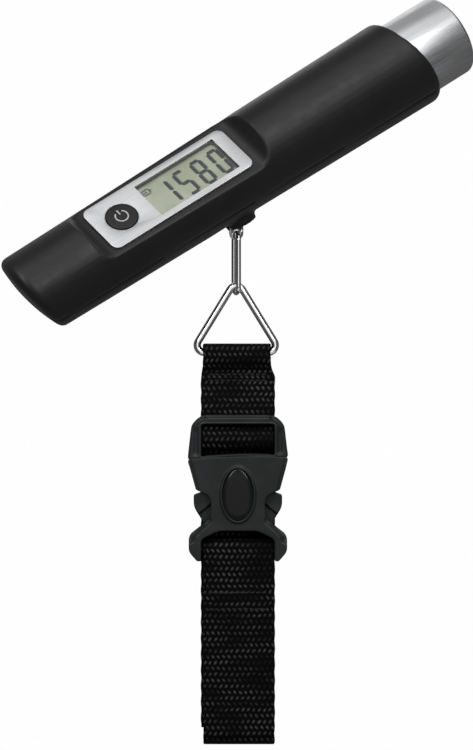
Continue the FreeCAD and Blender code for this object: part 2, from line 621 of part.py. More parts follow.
half_eye = size.eye_width / 2
eye_plate = outline_plate([(half_eye, half_eye, half_eye), (half_eye, -size.eye_drop - half_eye, half_eye),
                           (-half_eye, -size.eye_drop - half_eye, half_eye),
                           (-half_eye, half_eye, half_eye)],
                          size.eye_thickness / 2, -size.eye_thickness / 2)
for radius, drop in ((size.pin_radius + size.pin_fit, 0), (size.eye_hole, size.eye_drop)):
    eye_plate = eye_plate.cut(Part.makeCylinder(radius, 10, Vector(0, -5, -drop), Vector(0, 1, 0)))
sub_part(feature("hanger_eye", eye_plate), "hanger_eye", eye_frame)

half_turn = Rotation(Vector(1, 0, 0), 90)
eye_hole_level = f"({eye_hole_z})"
link_top = f"{eye_hole_level} - link_half_gap"
link_low = "link_bottom + link_half_gap"
legs = [rod(f"link_leg_{number}", "link_wire", f"{link_top} - ({link_low})",
            (f"{sign} * link_half_gap", "0", link_low)) for number, sign in enumerate(("-1", "1"))]
bends = [primitive("Torus", name, ("0", "0", level), half_turn * Rotation(Vector(0, 0, 1), spin),
                   Radius1="link_half_gap", Radius2="link_wire", Angle3="180")
         for name, level, spin in (("link_upper_bend", link_top, 0), ("link_lower_bend", link_low, 180))]
sub_part(fuse("link_ring", *legs, *bends), "link_ring", link_frame)


def tangent_contact(first, first_radius, second, second_radius):
    """Outward normal of the line that touches two discs on their right, going down."""
    between = second - first
    along = between / between.Length
    lean = (first_radius - second_radius) / between.Length
    return along * lean + Vector(-along.z, 0, along.x) * math.sqrt(1 - lean * lean)


arch_centre = Vector(0, 0, size.link_bottom)
half_base = size.ring_width / 2 - size.ring_wire
corner_centre = Vector(half_base - size.ring_corner, 0, size.ring_bottom + size.ring_corner)
right_normal = tangent_contact(arch_centre, size.ring_arch, corner_centre, size.ring_corner)


def mirror(point):
    return Vector(-point.x, 0, point.z)


arch_end = arch_centre + right_normal * size.ring_arch
corner_start = corner_centre + right_normal * size.ring_corner
corner_middle = corner_centre + (right_normal + Vector(0, 0, -1)).normalize() * size.ring_corner
corner_end = corner_centre + Vector(0, 0, -size.ring_corner)
ring_edges = [
    Part.Arc(mirror(arch_end), arch_centre + Vector(0, 0, size.ring_arch), arch_end),
    Part.LineSegment(arch_end, corner_start),
    Part.Arc(corner_start, corner_middle, corner_end),
    Part.LineSegment(corner_end, mirror(corner_end)),
    Part.Arc(mirror(corner_end), mirror(corner_middle), mirror(corner_start)),
    Part.LineSegment(mirror(corner_start), mirror(arch_end)),
]
ring_section = Part.Wire([Part.Circle(Vector(0, 0, size.ring_bottom), Vector(1, 0, 0),
                                      size.ring_wire).toShape()])
path_from_base = Part.Wire([edge.toShape() for edge in ring_edges[3:] + ring_edges[:3]])
ring_section.Placement = Placement(Vector(corner_end.x, 0, 0), Rotation())
ring_solid = path_from_base.makePipeShell([ring_section], True, True)
sub_part(feature("triangle_ring", ring_solid), "triangle_ring", ring_frame)

# ---- webbing (strap frame) ----

half_strap = size.strap_thickness / 2
ring_y = pivot.y
wrap = size.ring_wire + size.ring_bend_gap + half_strap
sewn_gap = half_strap + 0.02
sewn_top = size.ring_bottom - 6.5
sewn_bottom = sewn_top - 5.0
male_bar_z = size.buckle_seam + size.male_bar
bar_wrap = size.bar_radius + size.strap_bend_gap + half_strap
female_bar_z = size.buckle_seam - size.female_bar
front_y = size.buckle_depth - bar_wrap
rear_y = size.buckle_depth + size.female_thickness / 2 + size.strap_rear_gap + half_strap
fold_radius = (rear_y - front_y) / 2
fold_corner_z = size.loop_bottom + half_strap
rail_y = size.buckle_depth + 0.35

short_route = [
    (ring_y, size.ring_bottom + wrap, 0),
    (ring_y - wrap, size.ring_bottom + wrap, wrap),
    (ring_y - wrap, size.ring_bottom - 2.6, 2.0),
    (ring_y - sewn_gap, sewn_top, 3.0),
    (ring_y - sewn_gap, sewn_bottom, 6.0),
    (rail_y, size.buckle_seam + size.male_top + 2.0, 6.0),
    (rail_y, size.buckle_seam + size.male_window_top - 0.4, 1.5),
    (front_y, male_bar_z + 1.6, 1.0),
    (front_y, male_bar_z - bar_wrap, bar_wrap),
    (size.buckle_depth + bar_wrap, male_bar_z - bar_wrap, bar_wrap),
    (size.buckle_depth + bar_wrap, size.buckle_seam + size.male_top + 3.0, 0),
]
rear_route = [
    (ring_y, size.ring_bottom + wrap, 0),
    (ring_y + wrap, size.ring_bottom + wrap, wrap),
    (ring_y + wrap, size.ring_bottom - 2.6, 2.0),
    (ring_y + sewn_gap, sewn_top, 3.0),
    (ring_y + sewn_gap, sewn_bottom, 6.0),
    (rear_y, size.buckle_seam + size.male_top + 1.5, 8.0),
    (rear_y, fold_corner_z + fold_radius + 1.0, 0),
]
front_route = [
    (rear_y, fold_corner_z + fold_radius + 1.0, 0),
    (rear_y, fold_corner_z, fold_radius),
    (front_y, fold_corner_z, fold_radius),
    (front_y, female_bar_z + bar_wrap, bar_wrap),
    (size.buckle_depth + bar_wrap, female_bar_z + bar_wrap, bar_wrap),
    (size.buckle_depth + bar_wrap, female_bar_z - 4.0, 3.0),
    (front_y + 2 * sewn_gap, female_bar_z - 14.0, 4.0),
    (front_y + 2 * sewn_gap, female_bar_z - 24.0, 0),
]
for name, route in (("strap_short", short_route), ("strap_rear", rear_route),
                    ("strap_front", front_route)):
    sub_part(feature(name, ribbon(route, size.strap_width, size.strap_thickness)), name, strap_frame)

# ---- buckle (buckle frame: X = 0 on the centre line, Z = 0 at the seam) ----

half_male = size.male_thickness / 2
male_outline = mirrored([
    (size.male_top_half_width, size.male_top, 4.5), (size.male_half_width, 0.15, 1.0)])
male_plate = outline_plate(male_outline, half_male, -half_male)
male_window = box_shape((-size.window_half, -10, 0.8), (size.window_half, 10, size.male_window_top))
rail_relief = box_shape((-size.window_half, -0.6, size.male_window_top - 1),
                        (size.window_half, 10, size.male_top + 5))
male_bar = Part.makeCylinder(size.bar_radius, 2 * size.window_half + 1,
                             Vector(-size.window_half - 0.5, 0, size.male_bar), Vector(1, 0, 0))
half_inside = size.female_thickness / 2 - size.female_wall
half_plug = half_inside - 0.3
plug_half_width = 11.6
plug = box_shape((-plug_half_width, -half_plug, -3.5), (plug_half_width, half_plug, 1.0))
prong = outline_plate([(size.prong_half_width, -3, 0), (size.prong_half_width, -22.5, 1.6),
                       (-size.prong_half_width, -22.5, 1.6), (-size.prong_half_width, -3, 0)],
                      half_plug, -half_plug)
arm_seats = [box_shape((low, -5, -8), (high, 5, -0.6)) for low, high in ((6.2, 12), (-12, -6.2))]
male = male_plate.cut(male_window).cut(rail_relief).fuse([male_bar, plug, prong])
male = male.cut(arm_seats[0]).cut(arm_seats[1])
sub_part(feature("buckle_male", male.removeSplitter()), "buckle_male", buckle_frame)

half_arm = size.arm_thickness / 2
arm_outline = [
    (7.3, -1.0, 0), (10.6, -1.0, 0.5), (12.2, -6.0, 8.0), (12.4, -size.notch_top - 0.6, 0.5),
    (size.arm_half_span, -size.notch_top - 1.8, 0.8), (size.arm_half_span, -17.0, 6.0),
    (11.4, -size.arm_reach, 0.8), (9.4, -size.arm_reach + 1.2, 0.8), (9.0, -12.0, 6.0), (7.3, -5.0, 3.0)]
for side, sign in (("right", 1), ("left", -1)):
    name = "buckle_arm_" + side
    outline = [(sign * x, z, radius) for x, z, radius in arm_outline]
    sub_part(feature(name, outline_plate(outline, half_arm, -half_arm)), name, buckle_frame)

half_female = size.female_thickness / 2
mouth_half = size.male_half_width - 3.2
female_outline = mirrored([
    (size.male_half_width, 0, 0.6), (15.0, -size.notch_top, 0.6), (size.female_waist, -13.4, 3.5),
    (size.female_waist, -21.0, 5.0), (size.lobe_half_width, -27.2, 3.5),
    (size.lobe_half_width, -33.0, 3.8), (14.6, -size.female_length, 0.8),
    (size.window_half, -size.female_length, 0.4), (size.window_half, -28.6, 2.0), (7.0, -25.6, 8.0)])
female_plate = outline_plate(female_outline, half_female, -half_female)
pocket_outline = mirrored([(mouth_half, 1, 0), (13.1, -size.notch_top - 0.3, 0), (18.6, -13, 0),
                           (18.6, -20, 0), (12.6, -24.6, 0.6), (7.5, -23.6, 0)])
pocket = outline_plate(pocket_outline, half_inside, -half_inside)
strap_bar = Part.makeCylinder(size.bar_radius, 2 * size.window_half + 1,
                              Vector(-size.window_half - 0.5, 0, -size.female_bar), Vector(1, 0, 0))


def oval(half_width, half_height, near, far):
    """An upright oval plug along Y, about the emblem's centre."""
    centre = Vector(0, 0, 0)
    curve = Part.Ellipse(centre, half_height, half_width).toShape()
    plug_solid = Part.Face(Part.Wire([curve])).extrude(Vector(0, 0, near - far))
    turn = Rotation(Vector(1, 0, 0), 90) * Rotation(Vector(0, 0, 1), 90)
    plug_solid.Placement = Placement(Vector(0, near, -size.emblem_centre), turn)
    return plug_solid


rim_half_width = size.emblem_half_width + size.emblem_rim
rim_half_height = size.emblem_half_height + size.emblem_rim
rim_ring = oval(rim_half_width, rim_half_height, -half_female + 0.5, -half_female - 0.6)
emblem_seat = oval(size.emblem_half_width, size.emblem_half_height, -half_female + 0.4,
                   -half_female - 2)
female = female_plate.cut(pocket).fuse([strap_bar, rim_ring]).cut(emblem_seat)
sub_part(feature("buckle_female", female.removeSplitter()), "buckle_female", buckle_frame)

stretch = FreeCAD.Matrix()
stretch.scale(size.emblem_half_width - 0.05, size.emblem_rise + 0.4, size.emblem_half_height - 0.05)
dome = Part.makeSphere(1.0).transformGeometry(stretch)
dome = dome.common(box_shape((-20, -5, -20), (20, 0, 20)))
emblem = dome.translated(Vector(0, -half_female + 0.4, -size.emblem_centre))
sub_part(feature("emblem", emblem), "emblem", buckle_frame)

# ---- checks and export ----

doc.recompute()
for item in doc.Objects:
    if "Invalid" in item.State or "Error" in item.State:
        raise RuntimeError(f"{item.Name} did not build: {item.State}")
for item in sub_parts:
    if item.Shape.isNull() or not item.Shape.isValid() or item.Shape.Volume <= 0:
        raise RuntimeError(f"{item.Label} has no valid solid")
os.makedirs("parts", exist_ok=True)
for item in sub_parts:
    item.Shape.exportStep(f"parts/{item.Label}.step")
    print(f"{item.Label:18s} {item.Shape.Volume:10.1f} mm3 in {len(item.Shape.Solids)} solid(s)")
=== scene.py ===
"""The looks of a digital luggage scale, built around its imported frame.

Everything is in metres in the frame's axes; sizes in millimetres are written times MM.
The handle leans, so its pieces are shaped in the display frame (X along the handle, Z out of the display)
and then set in place.
"""

import json
import math

import bmesh
import bpy
import numpy as np
from mathutils import Matrix, Vector

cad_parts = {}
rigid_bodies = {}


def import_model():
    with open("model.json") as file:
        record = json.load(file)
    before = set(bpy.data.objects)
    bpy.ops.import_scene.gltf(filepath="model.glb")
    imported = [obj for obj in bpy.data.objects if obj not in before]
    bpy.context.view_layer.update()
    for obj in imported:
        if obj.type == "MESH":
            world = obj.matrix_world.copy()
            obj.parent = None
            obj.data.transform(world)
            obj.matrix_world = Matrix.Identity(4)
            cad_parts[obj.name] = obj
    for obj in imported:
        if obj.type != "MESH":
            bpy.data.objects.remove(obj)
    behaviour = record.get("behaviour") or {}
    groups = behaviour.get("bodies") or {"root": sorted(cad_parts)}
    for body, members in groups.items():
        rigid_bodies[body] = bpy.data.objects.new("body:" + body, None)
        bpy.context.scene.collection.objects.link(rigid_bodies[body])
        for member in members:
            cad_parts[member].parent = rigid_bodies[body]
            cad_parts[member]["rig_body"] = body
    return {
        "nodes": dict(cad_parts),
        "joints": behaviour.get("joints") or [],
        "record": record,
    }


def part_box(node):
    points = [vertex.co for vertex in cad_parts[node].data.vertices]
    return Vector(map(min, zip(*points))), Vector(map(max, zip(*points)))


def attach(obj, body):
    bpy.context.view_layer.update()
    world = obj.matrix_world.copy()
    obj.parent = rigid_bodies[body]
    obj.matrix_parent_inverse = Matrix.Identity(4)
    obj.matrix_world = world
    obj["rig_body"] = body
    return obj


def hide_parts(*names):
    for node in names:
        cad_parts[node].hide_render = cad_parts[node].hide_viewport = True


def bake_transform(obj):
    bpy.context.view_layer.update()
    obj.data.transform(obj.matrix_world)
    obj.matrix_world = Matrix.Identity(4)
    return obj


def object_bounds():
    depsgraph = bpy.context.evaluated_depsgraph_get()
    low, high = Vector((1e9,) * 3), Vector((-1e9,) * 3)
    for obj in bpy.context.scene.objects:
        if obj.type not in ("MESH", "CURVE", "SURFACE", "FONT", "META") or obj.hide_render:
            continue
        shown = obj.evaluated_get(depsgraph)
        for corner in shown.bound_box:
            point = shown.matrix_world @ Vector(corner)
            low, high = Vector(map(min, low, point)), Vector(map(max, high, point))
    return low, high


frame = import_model()
cad_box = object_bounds()
bpy.ops.object.select_all(action="DESELECT")

MM = 0.001
record = frame["record"]
slot_of = {part["node"]: part["material_slot"] for part in record["subparts"]}
body_of = {node: body for body, nodes in record["behaviour"]["bodies"].items() for node in nodes}
joints = {joint["name"]: joint for joint in frame["joints"]}

along = Vector(joints["cap_pull"]["axis"]).normalized()
outward = -Vector(joints["button_press"]["axis"]).normalized()
display = Matrix((along, outward.cross(along), outward)).transposed().to_4x4()


# ---- colours and nodes ----

def colour(text):
    """An sRGB hex value as the linear colour that a socket takes."""
    parts = [int(text[i:i + 2], 16) / 255 for i in (1, 3, 5)]
    return (*[p / 12.92 if p <= 0.04045 else ((p + 0.055) / 1.055) ** 2.4 for p in parts], 1)


def add(tree, kind, sockets=None, **settings):
    """A node with its settings, and its sockets set to values or linked to outputs."""
    made = tree.nodes.new("ShaderNode" + kind)
    for name, value in settings.items():
        setattr(made, name, value)
    for name, value in (sockets or {}).items():
        if isinstance(value, bpy.types.NodeSocket):
            tree.links.new(value, made.inputs[name])
        else:
            made.inputs[name].default_value = value
    return made


def begin(name, **sockets):
    """A new material with its shader's own sockets set: the tree and the shader."""
    made = bpy.data.materials.new(name)
    made.use_nodes = True
    shader = made.node_tree.nodes["Principled BSDF"]
    for socket, value in sockets.items():
        shader.inputs[socket.replace("_", " ")].default_value = value
    return made, made.node_tree, shader


def object_place(tree, turn=None, stretch=(1, 1, 1)):
    """Object coordinates in millimetres, turned to a frame and stretched for a grain."""
    place = add(tree, "TexCoord").outputs["Object"]
    angles = turn.to_3x3().transposed().to_euler() if turn else (0, 0, 0)
    turned = add(tree, "Mapping", {"Vector": place, "Rotation": angles, "Scale": (1 / MM,) * 3})
    return add(tree, "Mapping", {"Vector": turned.outputs[0], "Scale": stretch}).outputs[0]


def mixed(tree, factor, first, second):
    """Two colours mixed by a factor."""
    return add(tree, "Mix", {0: factor, 6: first, 7: second}, data_type="RGBA").outputs[2]


def ranged(tree, value, low, high, to_low=0.0, to_high=1.0):
    """A value eased from one range to another."""
    return add(tree, "MapRange", {0: value, 1: low, 2: high, 3: to_low, 4: to_high},
               interpolation_type="SMOOTHSTEP").outputs[0]


def noise(tree, place, scale, detail=3.0, roughness=0.5):
    sockets = {"Vector": place, "Scale": scale, "Detail": detail, "Roughness": roughness}
    return add(tree, "TexNoise", sockets).outputs["Fac"]


def maths(tree, operation, *values):
    return add(tree, "Math", dict(enumerate(values)), operation=operation).outputs[0]


def bumped(tree, shader, height, depth, strength=1.0):
    """A relief of a given depth in millimetres on the shader."""
    bump = add(tree, "Bump", {"Height": height, "Distance": depth * MM, "Strength": strength})
    tree.links.new(bump.outputs[0], shader.inputs["Normal"])


# ---- materials ----

def soft_touch_abs():
    """ABS with a soft-touch lacquer: near black, with a wide soft sheen and a fine velvety grain."""
    made, tree, shader = begin("soft_touch_lacquered_abs", Roughness=0.42, IOR=1.5, Sheen_Weight=0.12,
                               Sheen_Roughness=0.5)
    place = object_place(tree, display)
    cloud = noise(tree, place, 0.06)
    tree.links.new(mixed(tree, ranged(tree, cloud, 0.35, 0.65), colour("#161617"), colour("#1b1b1c")),
                   shader.inputs["Base Color"])
    tree.links.new(ranged(tree, noise(tree, place, 0.3), 0.3, 0.7, 0.4, 0.46), shader.inputs["Roughness"])
    bumped(tree, shader, noise(tree, place, 3.2, 2.0), 0.02, 0.35)
    return made


def brushed_aluminium():
    """Aluminium brushed along the handle: bright, with fine hair lines that stretch the glints."""
    made, tree, shader = begin("brushed_anodised_aluminium", Metallic=1.0, Anisotropic=0.45)
    hair = noise(tree, object_place(tree, display, (0.05, 4.0, 4.0)), 1.6, 4.0, 0.65)
    tree.links.new(mixed(tree, ranged(tree, hair, 0.3, 0.7), colour("#c3c4c6"), colour("#d6d7d9")),
                   shader.inputs["Base Color"])
    tree.links.new(ranged(tree, hair, 0.3, 0.7, 0.27, 0.4), shader.inputs["Roughness"])
    bumped(tree, shader, hair, 0.01, 0.3)
    return made


def clear_acrylic():
    """Clear acrylic window: hardly seen but for a faint reflection of the lights."""
    made, tree, shader = begin("clear_acrylic", Roughness=0.03, IOR=1.49, Alpha=0.05)
    wipe = noise(tree, object_place(tree, display), 0.15)
    tree.links.new(mixed(tree, wipe, colour("#f2f5f2"), colour("#ffffff")), shader.inputs["Base Color"])
    return made


def lcd_glass():
    """Reflective LCD glass: matt grey-green with a faint cloud from the polariser and reflector."""
    made, tree, shader = begin("lcd_polariser_glass", Roughness=0.35, IOR=1.5)
    place = object_place(tree, display)
    cloud = noise(tree, place, 0.08, 2.0)
    grain = noise(tree, place, 2.5, 1.0)
    green = mixed(tree, ranged(tree, cloud, 0.35, 0.65), colour("#bac4a6"), colour("#d2d8c0"))
    tree.links.new(mixed(tree, ranged(tree, grain, 0.3, 0.7, 0.0, 0.12), green, colour("#8f9a80")),
                   shader.inputs["Base Color"])
    return made


def ink_or_painted_shade(name, first, second, rough=0.5):
    """Ink, from a screen print or a liquid crystal, or the painted shadow of the digits: flat, with a
    slight unevenness of coverage.
    """
    made, tree, shader = begin(name, Roughness=rough)
    cover = ranged(tree, noise(tree, object_place(tree, display), 1.5), 0.3, 0.7)
    tree.links.new(mixed(tree, cover, colour(first), colour(second)), shader.inputs["Base Color"])
    return made


def button_abs():
    """Spark-eroded ABS button: black with a fine sandy grain that catches small points of light."""
    made, tree, shader = begin("spark_eroded_abs", Roughness=0.38, IOR=1.5)
    place = object_place(tree, display)
    grit = noise(tree, place, 4.0, 2.0, 0.7)
    tree.links.new(mixed(tree, ranged(tree, grit, 0.45, 0.75), colour("#0f0d0e"), colour("#1f1c1d")),
                   shader.inputs["Base Color"])
    bumped(tree, shader, grit, 0.03, 0.6)
    return made


def bright_steel():
    """Nickel-plated steel wire, polished: mirror bright, with faint drawn lines."""
    made, tree, shader = begin("nickel_plated_steel", Metallic=1.0)
    place = object_place(tree, None, (1.0, 1.0, 0.15))
    drawn = noise(tree, place, 5.0, 3.0, 0.6)
    tree.links.new(mixed(tree, ranged(tree, drawn, 0.3, 0.7), colour("#d3d3d4"), colour("#dededf")),
                   shader.inputs["Base Color"])
    tree.links.new(ranged(tree, drawn, 0.3, 0.7, 0.08, 0.12), shader.inputs["Roughness"])
    bumped(tree, shader, drawn, 0.002, 0.1)
    return made


DOT_PITCH = 1.95        # across the webbing, from one raised yarn to the next
ROW_PITCH = 2.1         # along the webbing, between staggered rows
YARN = 0.48             # one ground yarn; a real one is half as wide and wouldn't show


def nylon_webbing():
    """Woven polyamide webbing: black, with staggered rows of raised floats that catch the light, their
    highlights painted on as a lighter grey that fades in irregular bands.
    """
    made, tree, shader = begin("woven_polyamide_webbing", Roughness=0.66, IOR=1.5, Sheen_Weight=0.04,
                               Sheen_Roughness=0.4)
    place = add(tree, "TexCoord").outputs["UV"]
    wobble = add(tree, "TexNoise", {"Vector": place, "Scale": 0.3, "Detail": 2.0}).outputs["Color"]
    shifted = add(tree, "MixRGB", {0: 0.9, 1: place, 2: wobble}, blend_type="ADD").outputs[0]
    split = add(tree, "SeparateXYZ", {0: shifted}).outputs
    row = maths(tree, "DIVIDE", split[1], ROW_PITCH)
    odd = maths(tree, "MODULO", maths(tree, "FLOOR", row), 2.0)
    column = maths(tree, "ADD", maths(tree, "DIVIDE", split[0], DOT_PITCH),
                   maths(tree, "MULTIPLY", odd, 0.5))
    across = maths(tree, "SUBTRACT", maths(tree, "FRACT", column), 0.5)
    down = maths(tree, "SUBTRACT", maths(tree, "FRACT", row), 0.5)
    lean = maths(tree, "MULTIPLY", maths(tree, "SUBTRACT", odd, 0.5), 0.9)
    leaning = maths(tree, "ADD", across, maths(tree, "MULTIPLY", down, lean))
    oval = maths(tree, "SQRT", maths(tree, "ADD",
                 maths(tree, "MULTIPLY", maths(tree, "POWER", leaning, 2.0), 1.6),
                 maths(tree, "MULTIPLY", maths(tree, "POWER", down, 2.0), 1.1)))
    dot = ranged(tree, oval, 0.12, 0.44, 1.0, 0.0)
    weft, warp = [add(tree, "TexWave", {"Vector": shifted, "Scale": 2 / (math.tau * YARN),
                                        "Distortion": bend, "Detail": 1.0},
                      wave_type="BANDS", bands_direction=direction).outputs["Fac"]
                  for direction, bend in (("DIAGONAL", 1.2), ("X", 0.6))]
    # irregular bands along the webbing where the painted float highlights and their gloss fade
    band = add(tree, "Mapping", {"Vector": place, "Scale": (0.35, 1.0, 1.0)}).outputs[0]
    fading = ranged(tree, noise(tree, band, 0.2, 3.0), 0.36, 0.64, 0.12, 1.0)
    strength = maths(tree, "MULTIPLY", dot, fading)
    ground = mixed(tree, maths(tree, "MULTIPLY", weft, warp), colour("#050505"), colour("#101011"))
    # painted highlight: the floats are mixed towards a lighter grey where their glint falls
    tree.links.new(mixed(tree, strength, ground, colour("#4c4c4d")), shader.inputs["Base Color"])
    tree.links.new(ranged(tree, strength, 0.0, 1.0, 0.08, 0.6), shader.inputs["Specular IOR Level"])
    yarns = maths(tree, "MULTIPLY", maths(tree, "ADD", weft, warp), 0.22)
    bumped(tree, shader, maths(tree, "ADD", maths(tree, "MULTIPLY", dot, 0.8), yarns), 0.22, 0.8)
    return made


def sewing_thread():
    """Twisted polyester sewing thread: dull black with a fine twist."""
    made, tree, shader = begin("twisted_polyester_thread", Roughness=0.7, Sheen_Weight=0.2)
    place = object_place(tree)
    twist = add(tree, "TexWave", {"Vector": place, "Scale": 1.3, "Distortion": 0.5},
                bands_direction="DIAGONAL").outputs["Fac"]
    tree.links.new(mixed(tree, twist, colour("#0e0e0f"), colour("#2b2b2c")), shader.inputs["Base Color"])
    bumped(tree, shader, twist, 0.05, 0.6)
    return made


def buckle_acetal():
    """Moulded acetal with a spark-eroded texture: dark grey, satin, with a fine even grain."""
    made, tree, shader = begin("textured_acetal", Roughness=0.44, IOR=1.48)
    place = object_place(tree)
    grain = noise(tree, place, 3.0, 3.0, 0.6)
    cloud = noise(tree, place, 0.1)
    tree.links.new(mixed(tree, ranged(tree, cloud, 0.35, 0.65), colour("#262829"), colour("#303233")),
                   shader.inputs["Base Color"])
    tree.links.new(ranged(tree, grain, 0.3, 0.7, 0.4, 0.5), shader.inputs["Roughness"])
    bumped(tree, shader, grain, 0.025, 0.4)
    return made


def gloss_acetal():
    """Polished acetal boss: glossy black, so the lights show in it as two clear glints."""
    made, tree, shader = begin("polished_acetal", Roughness=0.16, IOR=1.48)
    haze = noise(tree, object_place(tree), 0.5)
    tree.links.new(mixed(tree, haze, colour("#121314"), colour("#1c1d1f")), shader.inputs["Base Color"])
    tree.links.new(ranged(tree, haze, 0.3, 0.7, 0.13, 0.2), shader.inputs["Roughness"])
    return made


INNER_FINISHES = {
    # slot: (name, darker colour, lighter colour, metallic, roughness, grain in 1/mm)
    # soft pink bands between display and board
    "silicone_strip": ("banded_silicone_strip", "#c8508c", "#e58ab6", 0.0, 0.6, 4.0),
    # glossy green under the copper
    "glass_epoxy": ("solder_masked_glass_epoxy", "#0f4a28", "#1c6b3c", 0.0, 0.35, 1.5),
    # dull black, slightly speckled
    "black_resin": ("moulded_epoxy_resin", "#0c0c0d", "#1a1a1b", 0.0, 0.55, 5.0),
    # bluish bright metal
    "steel_zinc": ("zinc_plated_steel", "#9fa3a6", "#c4c8ca", 1.0, 0.3, 3.0),
    # pale metal with cutter marks
    "cell_aluminium": ("milled_aluminium", "#b2b4b6", "#d0d2d3", 1.0, 0.32, 2.0),
    # amber foil
    "gauge_foil": ("constantan_foil", "#9a6a32", "#c69550", 0.6, 0.35, 4.0),
    # plain satin black
    "tray_abs": ("moulded_abs", "#1b1b1c", "#262627", 0.0, 0.5, 2.5),
    # glossy blue jacket
    "cell_jacket": ("printed_steel_battery_jacket", "#20509a", "#3a6fc0", 0.3, 0.3, 0.8),
}


def inner_finish(slot):
    """A finish for a piece inside the handle, from its row of the table."""
    name, dark, light, metallic, rough, grain = INNER_FINISHES[slot]
    made, tree, shader = begin(name, Metallic=metallic)
    mark = noise(tree, object_place(tree, display, (0.4, 1.0, 1.0)), grain, 3.0)
    tree.links.new(mixed(tree, ranged(tree, mark, 0.3, 0.7), colour(dark), colour(light)),
                   shader.inputs["Base Color"])
    tree.links.new(ranged(tree, mark, 0.3, 0.7, rough, rough + 0.12), shader.inputs["Roughness"])
    bumped(tree, shader, mark, 0.02, 0.3)
    return made


finishes = {slot: inner_finish(slot) for slot in INNER_FINISHES}
finishes.update(soft_touch_abs=soft_touch_abs(), brushed_aluminium=brushed_aluminium(),
                clear_acrylic=clear_acrylic(), lcd_glass=lcd_glass(), button_abs=button_abs(),
                bright_steel=bright_steel(), nylon_webbing=nylon_webbing(), buckle_acetal=buckle_acetal(),
                gloss_acetal=gloss_acetal())
thread = sewing_thread()
light_ink = ink_or_painted_shade("white_screen_ink", "#ececea", "#fbfbf9")
segment_ink = ink_or_painted_shade("liquid_crystal_segment", "#0a1024", "#141b34", 0.6)
# painted shadow: the digits' shadow on the reflector, a grey-green a little darker than the glass
segment_shade = ink_or_painted_shade("segment_shade_on_reflector", "#7f8a76", "#8e9884", 0.4)


# ---- shaping ----

def local_box(node, turn):
    """Lowest and highest corners of a CAD node in a turned frame."""
    back = turn.inverted()
    points = np.array([back @ vertex.co for vertex in frame["nodes"][node].data.vertices])
    return Vector(points.min(0)), Vector(points.max(0))


def start(kind, name, **settings):
    """A primitive to shape, added with nothing else selected."""
    bpy.ops.object.select_all(action="DESELECT")
    getattr(bpy.ops.mesh, f"primitive_{kind}_add")(**settings)
    piece = bpy.context.object
    piece.name = name
    piece.data.name = name
    bpy.ops.object.transform_apply(location=True, rotation=True, scale=True)
    return piece


def block(name, low, high):
    """A cube between two corners, to shape."""
    middle = (Vector(low) + Vector(high)) / 2
    piece = start("cube", name, size=1, location=middle)
    for vertex in piece.data.vertices:
        for axis in range(3):
            vertex.co[axis] = high[axis] if vertex.co[axis] > middle[axis] else low[axis]
    return piece


def pick(piece, kind, test):
    """Edit mode with only the faces or edges that pass a test selected."""
    bpy.context.view_layer.objects.active = piece
    bpy.ops.object.mode_set(mode="EDIT")
    bpy.ops.mesh.select_mode(type=kind)
    bpy.ops.mesh.select_all(action="DESELECT")
    shape = bmesh.from_edit_mesh(piece.data)
    for item in shape.faces if kind == "FACE" else shape.edges:
        if test(item):
            item.select_set(True)
    shape.select_flush_mode()
    bmesh.update_edit_mesh(piece.data)


def modify(piece, kind, **settings):
    """A modifier with its settings, applied."""
    bpy.ops.object.select_all(action="DESELECT")
    piece.select_set(True)
    bpy.context.view_layer.objects.active = piece
    made = piece.modifiers.new(kind.lower(), kind)
    for name, value in settings.items():
        setattr(made, name, value)
    bpy.ops.object.modifier_apply(modifier=made.name)


def soften(piece, width, segments=3, angle=35):
    """Rounds the edges sharper than an angle."""
    modify(piece, "BEVEL", width=width, segments=segments, limit_method="ANGLE",
           angle_limit=math.radians(angle), harden_normals=False)


def finish(piece, node, material=None, turn=None, smooth=40, stands_for=None):
    """Sets a piece in place with its finish, by default its node's slot's finish, on its node's body."""
    if piece.mode == "EDIT":
        bpy.ops.object.mode_set(mode="OBJECT")
    if turn:
        piece.data.transform(turn)
    piece.data.materials.clear()
    piece.data.materials.append(material or finishes[slot_of[node]])
    bpy.ops.object.select_all(action="DESELECT")
    piece.select_set(True)
    bpy.context.view_layer.objects.active = piece
    bpy.ops.object.shade_smooth_by_angle(angle=math.radians(smooth))
    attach(piece, body_of[node])
    if stands_for:
        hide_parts(*stands_for)
    return piece


def node_copy(name, node, turn=None):
    """A merged copy of a CAD node's mesh, turned back to its own frame, to shape."""
    piece = bpy.data.objects.new(name, frame["nodes"][node].data.copy())
    bpy.context.scene.collection.objects.link(piece)
    piece.data.name = name
    if turn:
        piece.data.transform(turn.inverted())
    pick(piece, "FACE", lambda face: True)
    bpy.ops.mesh.remove_doubles(threshold=0.002 * MM)
    bpy.ops.object.mode_set(mode="OBJECT")
    return piece


def mould(piece, voxel, rounds):
    """Gives a piece an even skin and the eased edges that it leaves a mould with."""
    modify(piece, "REMESH", mode="VOXEL", voxel_size=voxel, use_smooth_shade=True)
    modify(piece, "SMOOTH", factor=0.5, iterations=rounds)


def reshape(piece, origin, move):
    """Moves a piece's vertices by a function of their places from an origin, in millimetres."""
    places = np.empty(len(piece.data.vertices) * 3, np.float32)
    piece.data.vertices.foreach_get("co", places)
    local = (places.reshape(-1, 3).astype(float) - np.array(origin)) / MM
    moved = move(local) * MM + np.array(origin)
    piece.data.vertices.foreach_set("co", moved.astype(np.float32).ravel())
    piece.data.update()


def eased(value, low, high):
    """A smooth step from 0 at low to 1 at high."""
    share = np.clip((value - low) / (high - low), 0, 1)
    return share * share * (3 - 2 * share)


